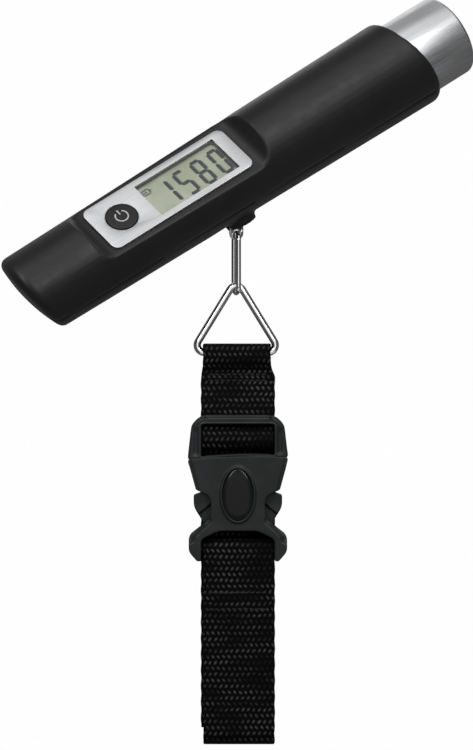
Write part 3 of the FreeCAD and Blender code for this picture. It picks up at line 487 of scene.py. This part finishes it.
def path(corners, step=0.4):
    """Points along a run through corners of (a, b, radius), closely spaced, in millimetres."""
    points = [np.array(corners[0][:2], float)]
    for before, corner, after in zip(corners, corners[1:], corners[2:]):
        here = np.array(corner[:2], float)
        back = np.array(before[:2], float) - here
        on = np.array(after[:2], float) - here
        back /= np.linalg.norm(back)
        on /= np.linalg.norm(on)
        half = math.acos(np.clip(back @ on, -1, 1)) / 2
        radius = corner[2]
        if radius == 0 or half > math.pi / 2 - 1e-4:
            points.append(here)
            continue
        reach = radius / math.tan(half)
        centre = here + (back + on) / np.linalg.norm(back + on) * (radius / math.sin(half))
        first = here + back * reach - centre
        last = here + on * reach - centre
        sweep = math.pi - 2 * half
        turn = math.copysign(1, first[0] * last[1] - first[1] * last[0])
        for share in np.linspace(0, 1, max(4, int(sweep * radius / step) + 2)):
            angle = turn * sweep * share
            points.append(centre + np.array([first[0] * math.cos(angle) - first[1] * math.sin(angle),
                                             first[0] * math.sin(angle) + first[1] * math.cos(angle)]))
    points.append(np.array(corners[-1][:2], float))
    points = np.array(points)
    length = np.concatenate([[0], np.cumsum(np.linalg.norm(np.diff(points, axis=0), axis=1))])
    even = np.linspace(0, length[-1], int(length[-1] / step) + 1)
    return np.column_stack([np.interp(even, length, points[:, 0]), np.interp(even, length, points[:, 1])])


def stamp(name, pattern, places):
    """One piece made of a modelled pattern set at many places; the pattern itself is removed."""
    gathered = bmesh.new()
    for place in places:
        print_of = pattern.data.copy()
        print_of.transform(place)
        gathered.from_mesh(print_of)
        bpy.data.meshes.remove(print_of)
    mesh = bpy.data.meshes.new(name)
    gathered.to_mesh(mesh)
    gathered.free()
    piece = bpy.data.objects.new(name, mesh)
    bpy.context.scene.collection.objects.link(piece)
    bpy.data.objects.remove(pattern)
    return piece


# ---- grip ----

GRIP_VOXEL = 0.6 * MM
GRIP_END = local_box("front_shell", display)[1].x / MM


def grip_form(local):
    """The open end drawn out a little at its lower side, and the parting line drawn close."""
    lower = np.clip(-local[:, 1] / 16, 0, 1.1)
    near = np.abs(local[:, 2])
    local[:, 2] = np.where(near < 0.9, np.sign(local[:, 2]) * np.maximum(near - 0.15, 0) * 1.2, local[:, 2])
    local[:, 0] += 2.2 * lower * eased(local[:, 0], GRIP_END - 14, GRIP_END)
    return local


def grip():
    """The two shells of the grip, with soft moulded edges and a fine parting line between them."""
    for name, node in (("grip_front", "front_shell"), ("grip_rear", "rear_shell")):
        piece = node_copy(name, node, display)
        mould(piece, GRIP_VOXEL, 3)
        reshape(piece, (0, 0, 0), grip_form)
        finish(piece, node, turn=display, smooth=60, stands_for=[node])


HEAD_RADIUS = 1.9 * MM
HEAD_HEIGHT = 1.4 * MM
SHANK_RADIUS = 1.0 * MM
RECESS = (0.28 * MM, 1.1 * MM, 0.9 * MM)        # half width, half length and depth of a slot of the cross


def screws():
    """Pan-head self-tapping screws with a cross recess, in their wells at the back."""
    low, high = local_box("shell_screws", display)
    points = np.array([display.inverted() @ v.co for v in frame["nodes"]["shell_screws"].data.vertices])
    shank = start("cylinder", "screw_pattern", vertices=24, radius=SHANK_RADIUS,
                  depth=high.z - low.z - HEAD_HEIGHT, location=(0, 0, (high.z + low.z + HEAD_HEIGHT) / 2))
    head = start("cylinder", "screw_head", vertices=32, radius=HEAD_RADIUS, depth=HEAD_HEIGHT,
                 location=(0, 0, low.z + HEAD_HEIGHT / 2))
    soften(head, 0.45 * MM, 4)
    narrow, wide, deep = RECESS
    for x, y in ((narrow, wide), (wide, narrow)):
        tool = block("recess", (-x, -y, low.z - 1 * MM), (x, y, low.z + deep))
        modify(head, "BOOLEAN", object=tool, operation="DIFFERENCE", solver="EXACT")
        bpy.data.objects.remove(tool)
    bpy.ops.object.select_all(action="DESELECT")
    head.select_set(True)
    shank.select_set(True)
    bpy.context.view_layer.objects.active = shank
    bpy.ops.object.join()
    centres = []
    for side in (points[:, 0] < 0, points[:, 0] > 0):
        for half in (points[:, 1] < 0, points[:, 1] > 0):
            chosen = points[side & half]
            centres.append((chosen.min(0) + chosen.max(0)) / 2)
    places = [Matrix.Translation((centre[0], centre[1], 0)) for centre in centres]
    piece = stamp("grip_screws", shank, places)
    finish(piece, "shell_screws", turn=display, stands_for=["shell_screws"])


# ---- display and button ----

def bezel():
    """The aluminium plate round the display, its edges broken so that they catch a line of light."""
    piece = node_copy("bezel", "bezel_plate", display)
    soften(piece, 0.22 * MM, 3)
    finish(piece, "bezel_plate", turn=display, smooth=30, stands_for=["bezel_plate"])


def window():
    """The clear window, set in the bezel."""
    piece = block("display_window", *local_box("display_lens", display))
    soften(piece, 0.15 * MM, 2)
    finish(piece, "display_lens", turn=display, smooth=30, stands_for=["display_lens"])


DIGIT_HEIGHT = 12.3 * MM
DIGIT_WIDTH = 5.0 * MM
DIGIT_PITCH = 7.7 * MM
STROKE = 1.3 * MM
SEGMENTS = {"0": "abcdef", "1": "bc", "5": "acdfg", "8": "abcdefg"}
READING = "1580"
INK = 0.03 * MM


def segment_places(origin, digit):
    """Place and turn of each lit segment of a digit, from its lower left corner."""
    half, wide = DIGIT_HEIGHT / 2 - STROKE / 2, DIGIT_WIDTH - STROKE
    spots = {"a": (wide / 2, 2 * half, 0), "b": (wide, 1.5 * half, 90), "c": (wide, 0.5 * half, 90),
             "d": (wide / 2, 0, 0), "e": (0, 0.5 * half, 90), "f": (0, 1.5 * half, 90),
             "g": (wide / 2, half, 0)}
    for letter in SEGMENTS[digit]:
        across, up, turn = spots[letter]
        length = (half if turn else wide) - 0.25 * MM
        yield origin + Vector((STROKE / 2 + across, STROKE / 2 + up, 0)), math.radians(turn), length


def lcd():
    """The display glass with a four-digit reading, the shade of the digits and a small battery sign."""
    low, high = local_box("lcd_panel", display)
    glass = block("lcd_glass", low, high)
    soften(glass, 0.2 * MM, 2)
    finish(glass, "lcd_panel", turn=display, smooth=30, stands_for=["lcd_panel"])
    window_low, window_high = local_box("display_lens", display)
    right = window_high.x - 0.3 * MM
    base = window_low.y + 1.3 * MM
    spots = []
    for number, digit in enumerate(READING):
        left = right - DIGIT_WIDTH - (len(READING) - 1 - number) * DIGIT_PITCH
        spots += list(segment_places(Vector((left, base, high.z)), digit))
    sign = Vector((window_low.x + 2.4 * MM, window_high.y - 3.0 * MM, high.z))
    bars = [(Vector((0, 1.1, 0)), 0, 3.0), (Vector((0, -1.1, 0)), 0, 3.0), (Vector((-1.5, 0, 0)), 90, 2.2),
            (Vector((1.5, 0, 0)), 90, 2.2), (Vector((2.0, 0, 0)), 90, 0.9), (Vector((-0.6, 0, 0)), 90, 1.2),
            (Vector((0.2, 0, 0)), 90, 1.2)]

    def shaped(length, width, at, turn):
        scale = Matrix.Diagonal((length, width, INK, 1))
        return Matrix.Translation(at) @ Matrix.Rotation(turn, 4, "Z") @ scale

    def bar(name):
        """A long six-sided bar of unit size, its ends drawn to points."""
        made = start("cylinder", name, vertices=6, radius=0.5, depth=1, rotation=(0, 0, math.pi / 2))
        for vertex in made.data.vertices:
            tip = abs(vertex.co.x) > 0.4
            vertex.co.x = math.copysign(0.5 if tip else 0.38, vertex.co.x)
            vertex.co.y = 0 if tip else math.copysign(0.5, vertex.co.y)
        return made

    def all_bars(shift):
        digits = [shaped(length, STROKE, at + shift, turn) for at, turn, length in spots]
        return digits + [shaped(length * MM, 0.32 * MM, sign + at * MM + shift, math.radians(turn))
                         for at, turn, length in bars]

    lit = stamp("lcd_segments", bar("bar"), all_bars(Vector((0, 0, INK))))
    finish(lit, "lcd_panel", segment_ink, turn=display, smooth=20)
    # painted shadow of the digits on the reflector: a copy of the segments set a little to the side, under
    # the ink
    shade = stamp("lcd_segment_shade", bar("bar"), all_bars(Vector((0.35 * MM, -0.3 * MM, 0))))
    finish(shade, "lcd_panel", segment_shade, turn=display, smooth=20)


BUTTON_HOLE = 6.05 * MM
POWER_STROKE = 0.26 * MM


def button():
    """The round button: crowned, with a power sign on it, in a bright rolled lip."""
    low, high = local_box("button_cap", display)
    plate_top = local_box("bezel_plate", display)[1].z
    middle = (low + high) / 2
    radius = 5.7 * MM
    flange = 0.8 * MM
    piece = start("cylinder", "power_button", vertices=96, radius=radius, depth=high.z - low.z,
                  location=middle)
    pick(piece, "FACE", lambda face: face.normal.z > 0.9)
    for thickness in (0.9 * MM, 1.2 * MM, 1.4 * MM):
        bpy.ops.mesh.inset(thickness=thickness)
        bpy.ops.transform.translate(value=(0, 0, 0.06 * MM))
    bpy.ops.object.mode_set(mode="OBJECT")
    soften(piece, 0.35 * MM, 4, 50)
    rim = start("cylinder", "button_flange", vertices=96, radius=high.x - middle.x, depth=flange,
                location=(middle.x, middle.y, low.z + flange / 2))
    soften(rim, 0.15 * MM, 2)
    finish(piece, "button_cap", turn=display, stands_for=["button_cap"])
    finish(rim, "button_cap", turn=display)
    top = high.z + 0.06 * MM
    lip = start("torus", "button_hole_lip", major_radius=BUTTON_HOLE, minor_radius=0.17 * MM,
                major_segments=96, minor_segments=10, location=(middle.x, middle.y, plate_top))
    finish(lip, "bezel_plate", turn=display)
    arc = start("torus", "power_sign", major_radius=2.3 * MM, minor_radius=POWER_STROKE,
                major_segments=72, minor_segments=10, location=(middle.x, middle.y, top + 0.08 * MM))
    gap = math.radians(36)
    pick(arc, "FACE", lambda face: abs(math.atan2(face.calc_center_median().x - middle.x,
                                                  face.calc_center_median().y - middle.y)) < gap)
    bpy.ops.mesh.delete(type="FACE")
    bpy.ops.mesh.select_all(action="SELECT")
    bpy.ops.mesh.fill_holes(sides=0)
    finish(arc, "button_cap", light_ink, turn=display)
    stroke = start("cylinder", "power_sign_stroke", vertices=16, radius=POWER_STROKE, depth=2.2 * MM,
                   rotation=(math.pi / 2, 0, 0),
                   location=(middle.x, middle.y + 1.9 * MM, top + 0.08 * MM))
    soften(stroke, 0.1 * MM, 3)
    finish(stroke, "button_cap", light_ink, turn=display)


def end_cap():
    """The battery cap: a brushed aluminium cup with a rolled end."""
    low, high = local_box("end_cap", display)
    radius = (high.y - low.y) / 2
    wall = 1.4 * MM
    piece = start("cylinder", "battery_cap", vertices=128, radius=radius, depth=high.x - low.x,
                  rotation=(0, math.pi / 2, 0), location=((low.x + high.x) / 2, 0, 0))
    pick(piece, "FACE", lambda face: face.normal.x > 0.9)
    bpy.ops.mesh.bevel(offset=1.6 * MM, segments=8, affect="EDGES")
    bpy.ops.object.mode_set(mode="OBJECT")
    pick(piece, "FACE", lambda face: face.normal.x < -0.9)
    bpy.ops.mesh.inset(thickness=wall)
    bpy.ops.mesh.extrude_region_move(TRANSFORM_OT_translate={"value": (high.x - low.x - wall, 0, 0)})
    bpy.ops.object.mode_set(mode="OBJECT")
    soften(piece, 0.2 * MM, 2, 60)
    finish(piece, "end_cap", turn=display, stands_for=["end_cap"])


def hanger_eye():
    """The stamped steel eye, its edges tumbled round."""
    piece = node_copy("hanger_tab", "hanger_eye")
    soften(piece, 0.2 * MM, 3, 50)
    finish(piece, "hanger_eye", smooth=45, stands_for=["hanger_eye"])


# ---- buckle ----

male_low, male_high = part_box("buckle_male")
socket_low, socket_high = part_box("buckle_female")
seam_z = socket_high.z
buckle_at = Vector(((male_low.x + male_high.x) / 2, (male_low.y + male_high.y) / 2, seam_z))
BUCKLE_VOXEL = 0.27 * MM
SEAM_ARCH = 1.0         # how far the seam rises at the middle
SEAM_CLOSE = 0.2        # how far each half is drawn out to meet the other
SEAM_TILT = 0.4         # how far its right end stands above its middle line

HALF_SPAN = 18          # half the buckle's width

MALE_EDGE = path([(-HALF_SPAN, 0.15, 0), (-16.2, 15.8, 4.5), (16.2, 15.8, 4.5), (HALF_SPAN, 0.15, 0)])
SOCKET_SIDE = path([(HALF_SPAN, 0, 0), (15, -10.9, 0)])
LOBE_TOP = path([(11.6, -21.4, 0), (17.3, -27.0, 3.0), (17.3, -28.0, 0)])


def seam_lift(local):
    """How far the arched seam lifts each place, fading out above and below it."""
    x, z = local[:, 0], local[:, 2]
    fade = np.where(z > 0, 1 - eased(z, 1.0, 4.0), 1 - eased(-z, 0.6, 3.4))
    share = x / HALF_SPAN
    return (SEAM_ARCH * np.clip(1 - share ** 2, 0, 1) + SEAM_TILT * share) * fade


def away(local, line):
    """Distance of each place from a line drawn on the buckle's right half, mirrored to the left."""
    flat = np.column_stack([np.abs(local[:, 0]), local[:, 2]])
    nearest = np.full(len(flat), 1e9)
    for point in line:
        nearest = np.minimum(nearest, np.hypot(flat[:, 0] - point[0], flat[:, 1] - point[1]))
    return nearest


def sunk(local, depth, inner=1.2, outer=2.6):
    """Places pressed in towards the buckle's middle plane, in full from the outer distance on."""
    local = local.copy()
    outer = eased(np.abs(local[:, 1]), inner, outer)
    local[:, 1] -= np.sign(local[:, 1]) * depth * outer
    return local


def male_form(local):
    """The strap frame's crown, its stepped shoulders, fluted side posts and arched seam."""
    x, z = np.abs(local[:, 0]), local[:, 2]
    edge = away(local, MALE_EDGE)
    depth = 0.9 * (x / HALF_SPAN) ** 3
    for line in (1.05, 2.25):
        depth = depth + 0.34 * np.exp(-((edge - line) / 0.3) ** 2) * eased(z, 8.0, 11.5)
    posts = eased(z, 0.6, 2.4) * (1 - eased(z, 9.0, 12.0))
    depth = depth + 0.75 * np.exp(-((x - 15.0) / 0.85) ** 2) * posts
    depth = depth + 0.5 * (1 - eased(edge, 0.0, 0.9))
    depth = depth + 1.3 * (1 - eased(x, 10.5, 13.0)) * eased(z, 13.3, 13.9)
    shaped = sunk(local, depth)
    shaped[:, 2] -= 1.3 * eased(x, 10.5, 17.5) * eased(z, 9.0, 15.8)
    shaped[:, 2] -= SEAM_CLOSE * (1 - eased(z, 0.3, 1.4)) * eased(z, -0.6, 0.0)
    shaped[:, 2] += seam_lift(local)
    return shaped


def socket_form(local):
    """The socket's crowned face, bevelled sides and lobes, and arched top edge."""
    x, z = np.abs(local[:, 0]), local[:, 2]
    depth = 0.75 * (x / HALF_SPAN) ** 2 * (1 - eased(-z, 22, 26))
    depth = depth + 0.85 * (1 - eased(away(local, SOCKET_SIDE), 0.1, 1.5))
    solid = eased(-z, 23.0, 25.0)
    depth = depth + 1.5 * (1 - eased(away(local, LOBE_TOP), 0.6, 2.5)) * eased(-z, 20, 22)
    shaped = sunk(local, np.minimum(depth, 0.9 + solid), 3.5 - 2.3 * solid, 4.5 - 1.9 * solid)
    shaped[:, 2] += SEAM_CLOSE * (1 - eased(-z, 0.2, 1.2)) * eased(x, 4.0, 8.0)
    shaped[:, 2] += seam_lift(local)
    return shaped


def arm_form(local):
    """A squeeze arm, thinner towards its outer edge and hollowed for a fingertip."""
    x, z = np.abs(local[:, 0]), local[:, 2]
    shaped = local.copy()
    shaped[:, 1] *= 0.97
    below = (-15.9 - 0.81 * (x - 9.9)) - z
    shaped[:, 1] *= 1 - 0.1 * eased(x, 12.5, 15.8) - 0.1 * np.exp(-((z + 16.5) / 2.4) ** 2)
    shaped[:, 1] *= 1 - 0.55 * eased(below, 0.1, 0.7)
    return shaped


def buckle():
    """The side-release buckle: strap frame, socket and two squeeze arms, with eased moulded edges."""
    for name, node, form in (("buckle_strap_frame", "buckle_male", male_form),
                             ("buckle_socket_body", "buckle_female", socket_form),
                             ("squeeze_arm_left", "buckle_arm_left", arm_form),
                             ("squeeze_arm_right", "buckle_arm_right", arm_form)):
        piece = node_copy(name, node)
        mould(piece, BUCKLE_VOXEL, 3)
        reshape(piece, buckle_at, form)
        finish(piece, node, smooth=60, stands_for=[node])


def emblem():
    """The glossy oval boss, crowned like half an egg, and the raised lip round it."""
    low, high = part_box("emblem")
    middle = (low + high) / 2
    dome = start("uv_sphere", "emblem_dome", segments=64, ring_count=32, radius=1,
                 rotation=(math.pi / 2, 0, 0))
    for vertex in dome.data.vertices:
        x, y, z = vertex.co
        deep = socket_low.y - low.y if y < 0 else high.y - socket_low.y
        fuller = (1 - 0.06 * z) * (high.x - low.x) / 2
        vertex.co = (middle.x + x * fuller, socket_low.y + math.copysign(abs(y) ** 0.8, y) * deep,
                     middle.z + z * (high.z - low.z) / 2)
    finish(dome, "emblem", smooth=60, stands_for=["emblem"])
    half_width, half_height = (high.x - low.x) / 2 + 0.5 * MM, (high.z - low.z) / 2 + 0.5 * MM
    piece = start("torus", "emblem_rim", major_radius=1, minor_radius=0.075, major_segments=96,
                  minor_segments=14, rotation=(math.pi / 2, 0, 0))
    face = socket_low.y
    for vertex in piece.data.vertices:
        reach = math.hypot(vertex.co.x, vertex.co.z)
        lip = (reach - 1) / 0.075 * 0.42 * MM
        across, up = vertex.co.x / reach, vertex.co.z / reach
        vertex.co = ((low.x + high.x) / 2 + across * (half_width + lip),
                     face + 0.1 * MM + vertex.co.y / 0.075 * 0.42 * MM,
                     (low.z + high.z) / 2 + up * (half_height + lip))
    finish(piece, "buckle_female", smooth=60)


# ---- webbing ----

strap_low, strap_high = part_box("strap_rear")
ring_low, ring_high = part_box("triangle_ring")
SELVEDGE = 0.6          # how far the woven edge stands proud at each side
STRAP_WIDTH = (strap_high.x - strap_low.x) / MM + 2 * SELVEDGE
STRAP_CENTRE = (strap_high.x + strap_low.x) / 2 + 0.3 * MM
RING_WIDTH = 24.4       # where it is gathered into the ring
THICKNESS = 1.3
RING_WIRE = 1.33        # radius of the triangle ring's wire
BAR_RADIUS = 1.4        # radius of the buckle's two bars
HALF = THICKNESS / 2
ring_y = (ring_low.y + ring_high.y) / 2 / MM
ring_z = ring_low.z / MM + RING_WIRE
seam = seam_z / MM
buckle_y = buckle_at.y / MM
wrap = RING_WIRE + 0.6 + HALF
bar_wrap = BAR_RADIUS + 0.25 + HALF
male_bar = seam + 6.4
socket_bar = seam - 31.6
front_y = buckle_y - bar_wrap
rear_y = socket_high.y / MM + 0.3 + HALF
sewn = HALF + 0.02
sewn_top, sewn_bottom = ring_z - 6.5, ring_z - 11.5
fold = (rear_y - front_y) / 2
fold_z = -202.5 + HALF
SHORT_ROUTE = [
    (ring_y, ring_z + wrap, 0), (ring_y - wrap, ring_z + wrap, wrap), (ring_y - wrap, ring_z - 2.6, 2.0),
    (ring_y - sewn, sewn_top, 3.0), (ring_y - sewn, sewn_bottom, 6.0),
    (buckle_y + 0.35, seam + 17.8, 6.0), (buckle_y + 0.35, seam + 12.1, 1.5),
    (front_y, male_bar + 1.6, 1.0), (front_y, male_bar - bar_wrap, bar_wrap),
    (buckle_y + bar_wrap, male_bar - bar_wrap, bar_wrap), (buckle_y + bar_wrap, seam + 18.8, 0)]
REAR_ROUTE = [
    (ring_y, ring_z + wrap, 0), (ring_y + wrap, ring_z + wrap, wrap), (ring_y + wrap, ring_z - 2.6, 2.0),
    (ring_y + sewn, sewn_top, 3.0), (ring_y + sewn, sewn_bottom, 6.0),
    (rear_y, seam + 17.3, 8.0), (rear_y, fold_z + fold + 1.0, 0)]
FRONT_ROUTE = [
    (rear_y, fold_z + fold + 1.0, 0), (rear_y, fold_z, fold), (front_y, fold_z, fold),
    (front_y, socket_bar + bar_wrap, bar_wrap), (buckle_y + bar_wrap, socket_bar + bar_wrap, bar_wrap),
    (buckle_y + bar_wrap, socket_bar - 4.0, 3.0), (front_y + 2 * sewn, socket_bar - 14.0, 4.0),
    (front_y + 2 * sewn, socket_bar - 24.0, 0)]
STRIP_COLUMNS = 26


def strip(name, node, route, phase, shift, wider):
    """One length of webbing along its route, with uneven selvedges and a UV map in millimetres.

    It can be shifted to the right and made a little wider than the others.
    """
    line = path(route, 0.5)
    length = np.concatenate([[0], np.cumsum(np.linalg.norm(np.diff(line, axis=0), axis=1))])
    piece = start("grid", name, x_subdivisions=STRIP_COLUMNS, y_subdivisions=len(line) - 1, size=1)
    flat = np.array([vertex.co for vertex in piece.data.vertices])
    gone = (flat[:, 1] + 0.5) * length[-1]
    height = np.interp(gone, length, line[:, 1])
    at_ring = eased(height, ring_z - 9, ring_z - 4)
    width = (STRAP_WIDTH + wider) * (1 - at_ring) + RING_WIDTH * at_ring
    shift = shift - 0.3 * at_ring
    across = flat[:, 0] * width
    edge = np.sign(across) * eased(np.abs(flat[:, 0]), 0.38, 0.5)
    across = across + edge * 0.1 * np.sin(gone * 1.1 + phase + np.sign(across)) - edge * 0.1
    depth = np.interp(gone, length, line[:, 0])
    places = np.column_stack([(across + shift) * MM + STRAP_CENTRE, depth * MM, height * MM])
    piece.data.vertices.foreach_set("co", places.astype(np.float32).ravel())
    for loop in piece.data.uv_layers.active.data:
        loop.uv = (loop.uv[0] * STRAP_WIDTH, loop.uv[1] * length[-1])
    piece.data.update()
    modify(piece, "SOLIDIFY", thickness=THICKNESS * MM, offset=0, use_even_offset=True)
    soften(piece, 0.42 * MM, 3, 60)
    return piece


def webbing():
    """The three lengths of webbing: round the ring and the upper bar, down the back, and up the front."""
    finish(strip("webbing_upper", "strap_short", SHORT_ROUTE, 0.0, 0.1, 0.0), "strap_short", smooth=60,
           stands_for=["strap_short"])
    finish(strip("webbing_front", "strap_front", FRONT_ROUTE, 2.0, 0.6, 0.0), "strap_front", smooth=60,
           stands_for=["strap_front"])
    rear = strip("webbing_rear", "strap_rear", REAR_ROUTE, 4.0, 0.2, 1.1)
    finish(rear, "strap_rear", smooth=60, stands_for=["strap_rear"])
    rear.parent = None
    rear.pop("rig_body")
    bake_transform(rear)


STITCH = 2.1            # one stitch, along its row
THREAD = 0.26           # thread radius


def stitches(name, node, rows):
    """Rows of lock stitches; each row is (z, y, which way it faces)."""
    pattern = start("uv_sphere", "stitch", segments=8, ring_count=7, radius=1, rotation=(0, math.pi / 2, 0))
    for vertex in pattern.data.vertices:
        reach = vertex.co.x
        vertex.co = (reach * STITCH * 0.46 * MM, vertex.co.y * THREAD * MM + abs(reach) ** 2.5 * 0.3 * MM,
                     vertex.co.z * THREAD * 1.15 * MM)
    places = []
    for z, y, facing in rows:
        count = int((STRAP_WIDTH - 3.2) / STITCH)
        for number in range(count):
            x = STRAP_CENTRE + (number - (count - 1) / 2) * STITCH * MM
            turn = Matrix.Rotation(math.pi, 4, "Z") if facing > 0 else Matrix.Identity(4)
            tilt = Matrix.Rotation(math.radians(5 if number % 2 else -4), 4, "Y")
            places.append(Matrix.Translation((x, y * MM, z * MM)) @ turn @ tilt)
    piece = stamp(name, pattern, places)
    finish(piece, node, thread, smooth=80)


def seams():
    """The stitching below the ring, and where the front strip is sewn back on itself."""
    proud = HALF + 0.05
    upper = []
    for z in (sewn_top - 1.4, sewn_top - 3.6):
        upper += [(z, ring_y - sewn - proud, -1), (z, ring_y + sewn + proud, 1)]
    stitches("ring_stitching", "strap_short", upper)
    lower = []
    for z in (socket_bar - 16.0, socket_bar - 22.0):
        lower += [(z, front_y - proud, -1), (z, front_y + 2 * sewn + proud, 1)]
    stitches("loop_stitching", "strap_front", lower)


# ---- studio ----

AIM = Vector((6.6, 0, -70.4)) * MM
CAMERA_DISTANCE = 1.4
VIEW_HEIGHT = 267.9 * MM
SENSOR = 36.0


def camera():
    """Level with the object's middle and straight on to the display side."""
    view = bpy.data.cameras.new("camera")
    view.sensor_fit = "VERTICAL"
    view.sensor_height = SENSOR
    view.sensor_width = SENSOR
    view.lens = SENSOR * CAMERA_DISTANCE / VIEW_HEIGHT
    held = bpy.data.objects.new("camera", view)
    held.location = AIM - Vector((0, CAMERA_DISTANCE, 0))
    held.rotation_euler = (math.pi / 2, 0, 0)
    bpy.context.scene.collection.objects.link(held)
    bpy.context.scene.camera = held


LIGHTS = {
    # name: (direction from the object, distance, width, height, watts, whether only bright metal takes it)
    "overhead": ((0.1, -0.4, 0.92), 1.0, 1.5, 0.7, 2.8, False),
    "left_strip": ((-0.4, -0.75, 0.55), 0.9, 0.1, 0.6, 1.5, False),
    "right_strip": ((0.4, -0.75, 0.55), 0.9, 0.1, 0.6, 1.5, False),
    "front_fill": ((0.0, -1.0, 0.05), 1.6, 1.2, 1.2, 1.0, False),
    "back_rim": ((0.1, 0.8, 0.6), 1.0, 0.8, 0.5, 1.2, False),
    "metal_card_low": ((0.25, -0.6, -0.8), 1.2, 1.8, 0.7, 3.0, True),
    "metal_card_front": ((0.1, -1.0, 0.05), 1.2, 0.9, 1.2, 3.2, True),
    "metal_card_high": ((-0.3, 0.1, 1.0), 1.2, 2.2, 1.0, 2.2, True),
}
BRIGHT_METAL = ("battery_cap", "bezel", "button_hole_lip", "hanger_tab", "link_ring", "triangle_ring")


def lights():
    """Soft boxes: overhead, two strips in front, a weak front fill, one behind; and cards for the metal."""
    metal = bpy.data.collections.new("bright_metal")
    for name in BRIGHT_METAL:
        metal.objects.link(bpy.data.objects[name])
    for name, (direction, distance, width, height, watts, for_metal) in LIGHTS.items():
        lamp = bpy.data.lights.new(name, "AREA")
        lamp.shape = "RECTANGLE"
        lamp.size, lamp.size_y, lamp.energy = width, height, watts
        held = bpy.data.objects.new(name, lamp)
        toward = Vector(direction).normalized()
        held.location = AIM + toward * distance
        held.rotation_euler = toward.to_track_quat("Z", "Y").to_euler()
        bpy.context.scene.collection.objects.link(held)
        if for_metal:
            held.light_linking.receiver_collection = metal


def paper_white():
    """Seamless white studio paper, lit to clean white, with a trace of tooth."""
    made, tree, shader = begin("white_studio_paper", Roughness=0.9, Emission_Strength=1.0)
    tooth = noise(tree, object_place(tree), 0.05)
    tree.links.new(mixed(tree, tooth, colour("#fdfdfd"), colour("#ffffff")),
                   shader.inputs["Emission Color"])
    shader.inputs["Base Color"].default_value = colour("#000000")
    shader.inputs["Specular IOR Level"].default_value = 0
    return made


def studio():
    """A pale floor just under the loop and a backdrop all round, seen only by the camera."""
    paper = paper_white()
    floor = start("circle", "floor", vertices=96, radius=5.0, fill_type="NGON",
                  location=(0, 0, cad_box[0].z - 1 * MM))
    backdrop = start("uv_sphere", "backdrop", segments=48, ring_count=24, radius=6.0)
    for item in (floor, backdrop):
        item.data.materials.append(paper)
        for ray in ("diffuse", "glossy", "transmission", "volume_scatter", "shadow"):
            setattr(item, "visible_" + ray, False)
    world = bpy.data.worlds.new("studio")
    world.use_nodes = True
    world.node_tree.nodes["Background"].inputs["Color"].default_value = colour("#ffffff")
    world.node_tree.nodes["Background"].inputs["Strength"].default_value = 0.12
    bpy.context.scene.world = world
    bpy.context.scene.view_settings.view_transform = "Standard"


camera()
studio()
grip()
screws()
bezel()
window()
lcd()
button()
end_cap()
hanger_eye()
buckle()
emblem()
webbing()
seams()
lights()

for node, item in frame["nodes"].items():
    item.data.materials.clear()
    item.data.materials.append(finishes[slot_of[node]])
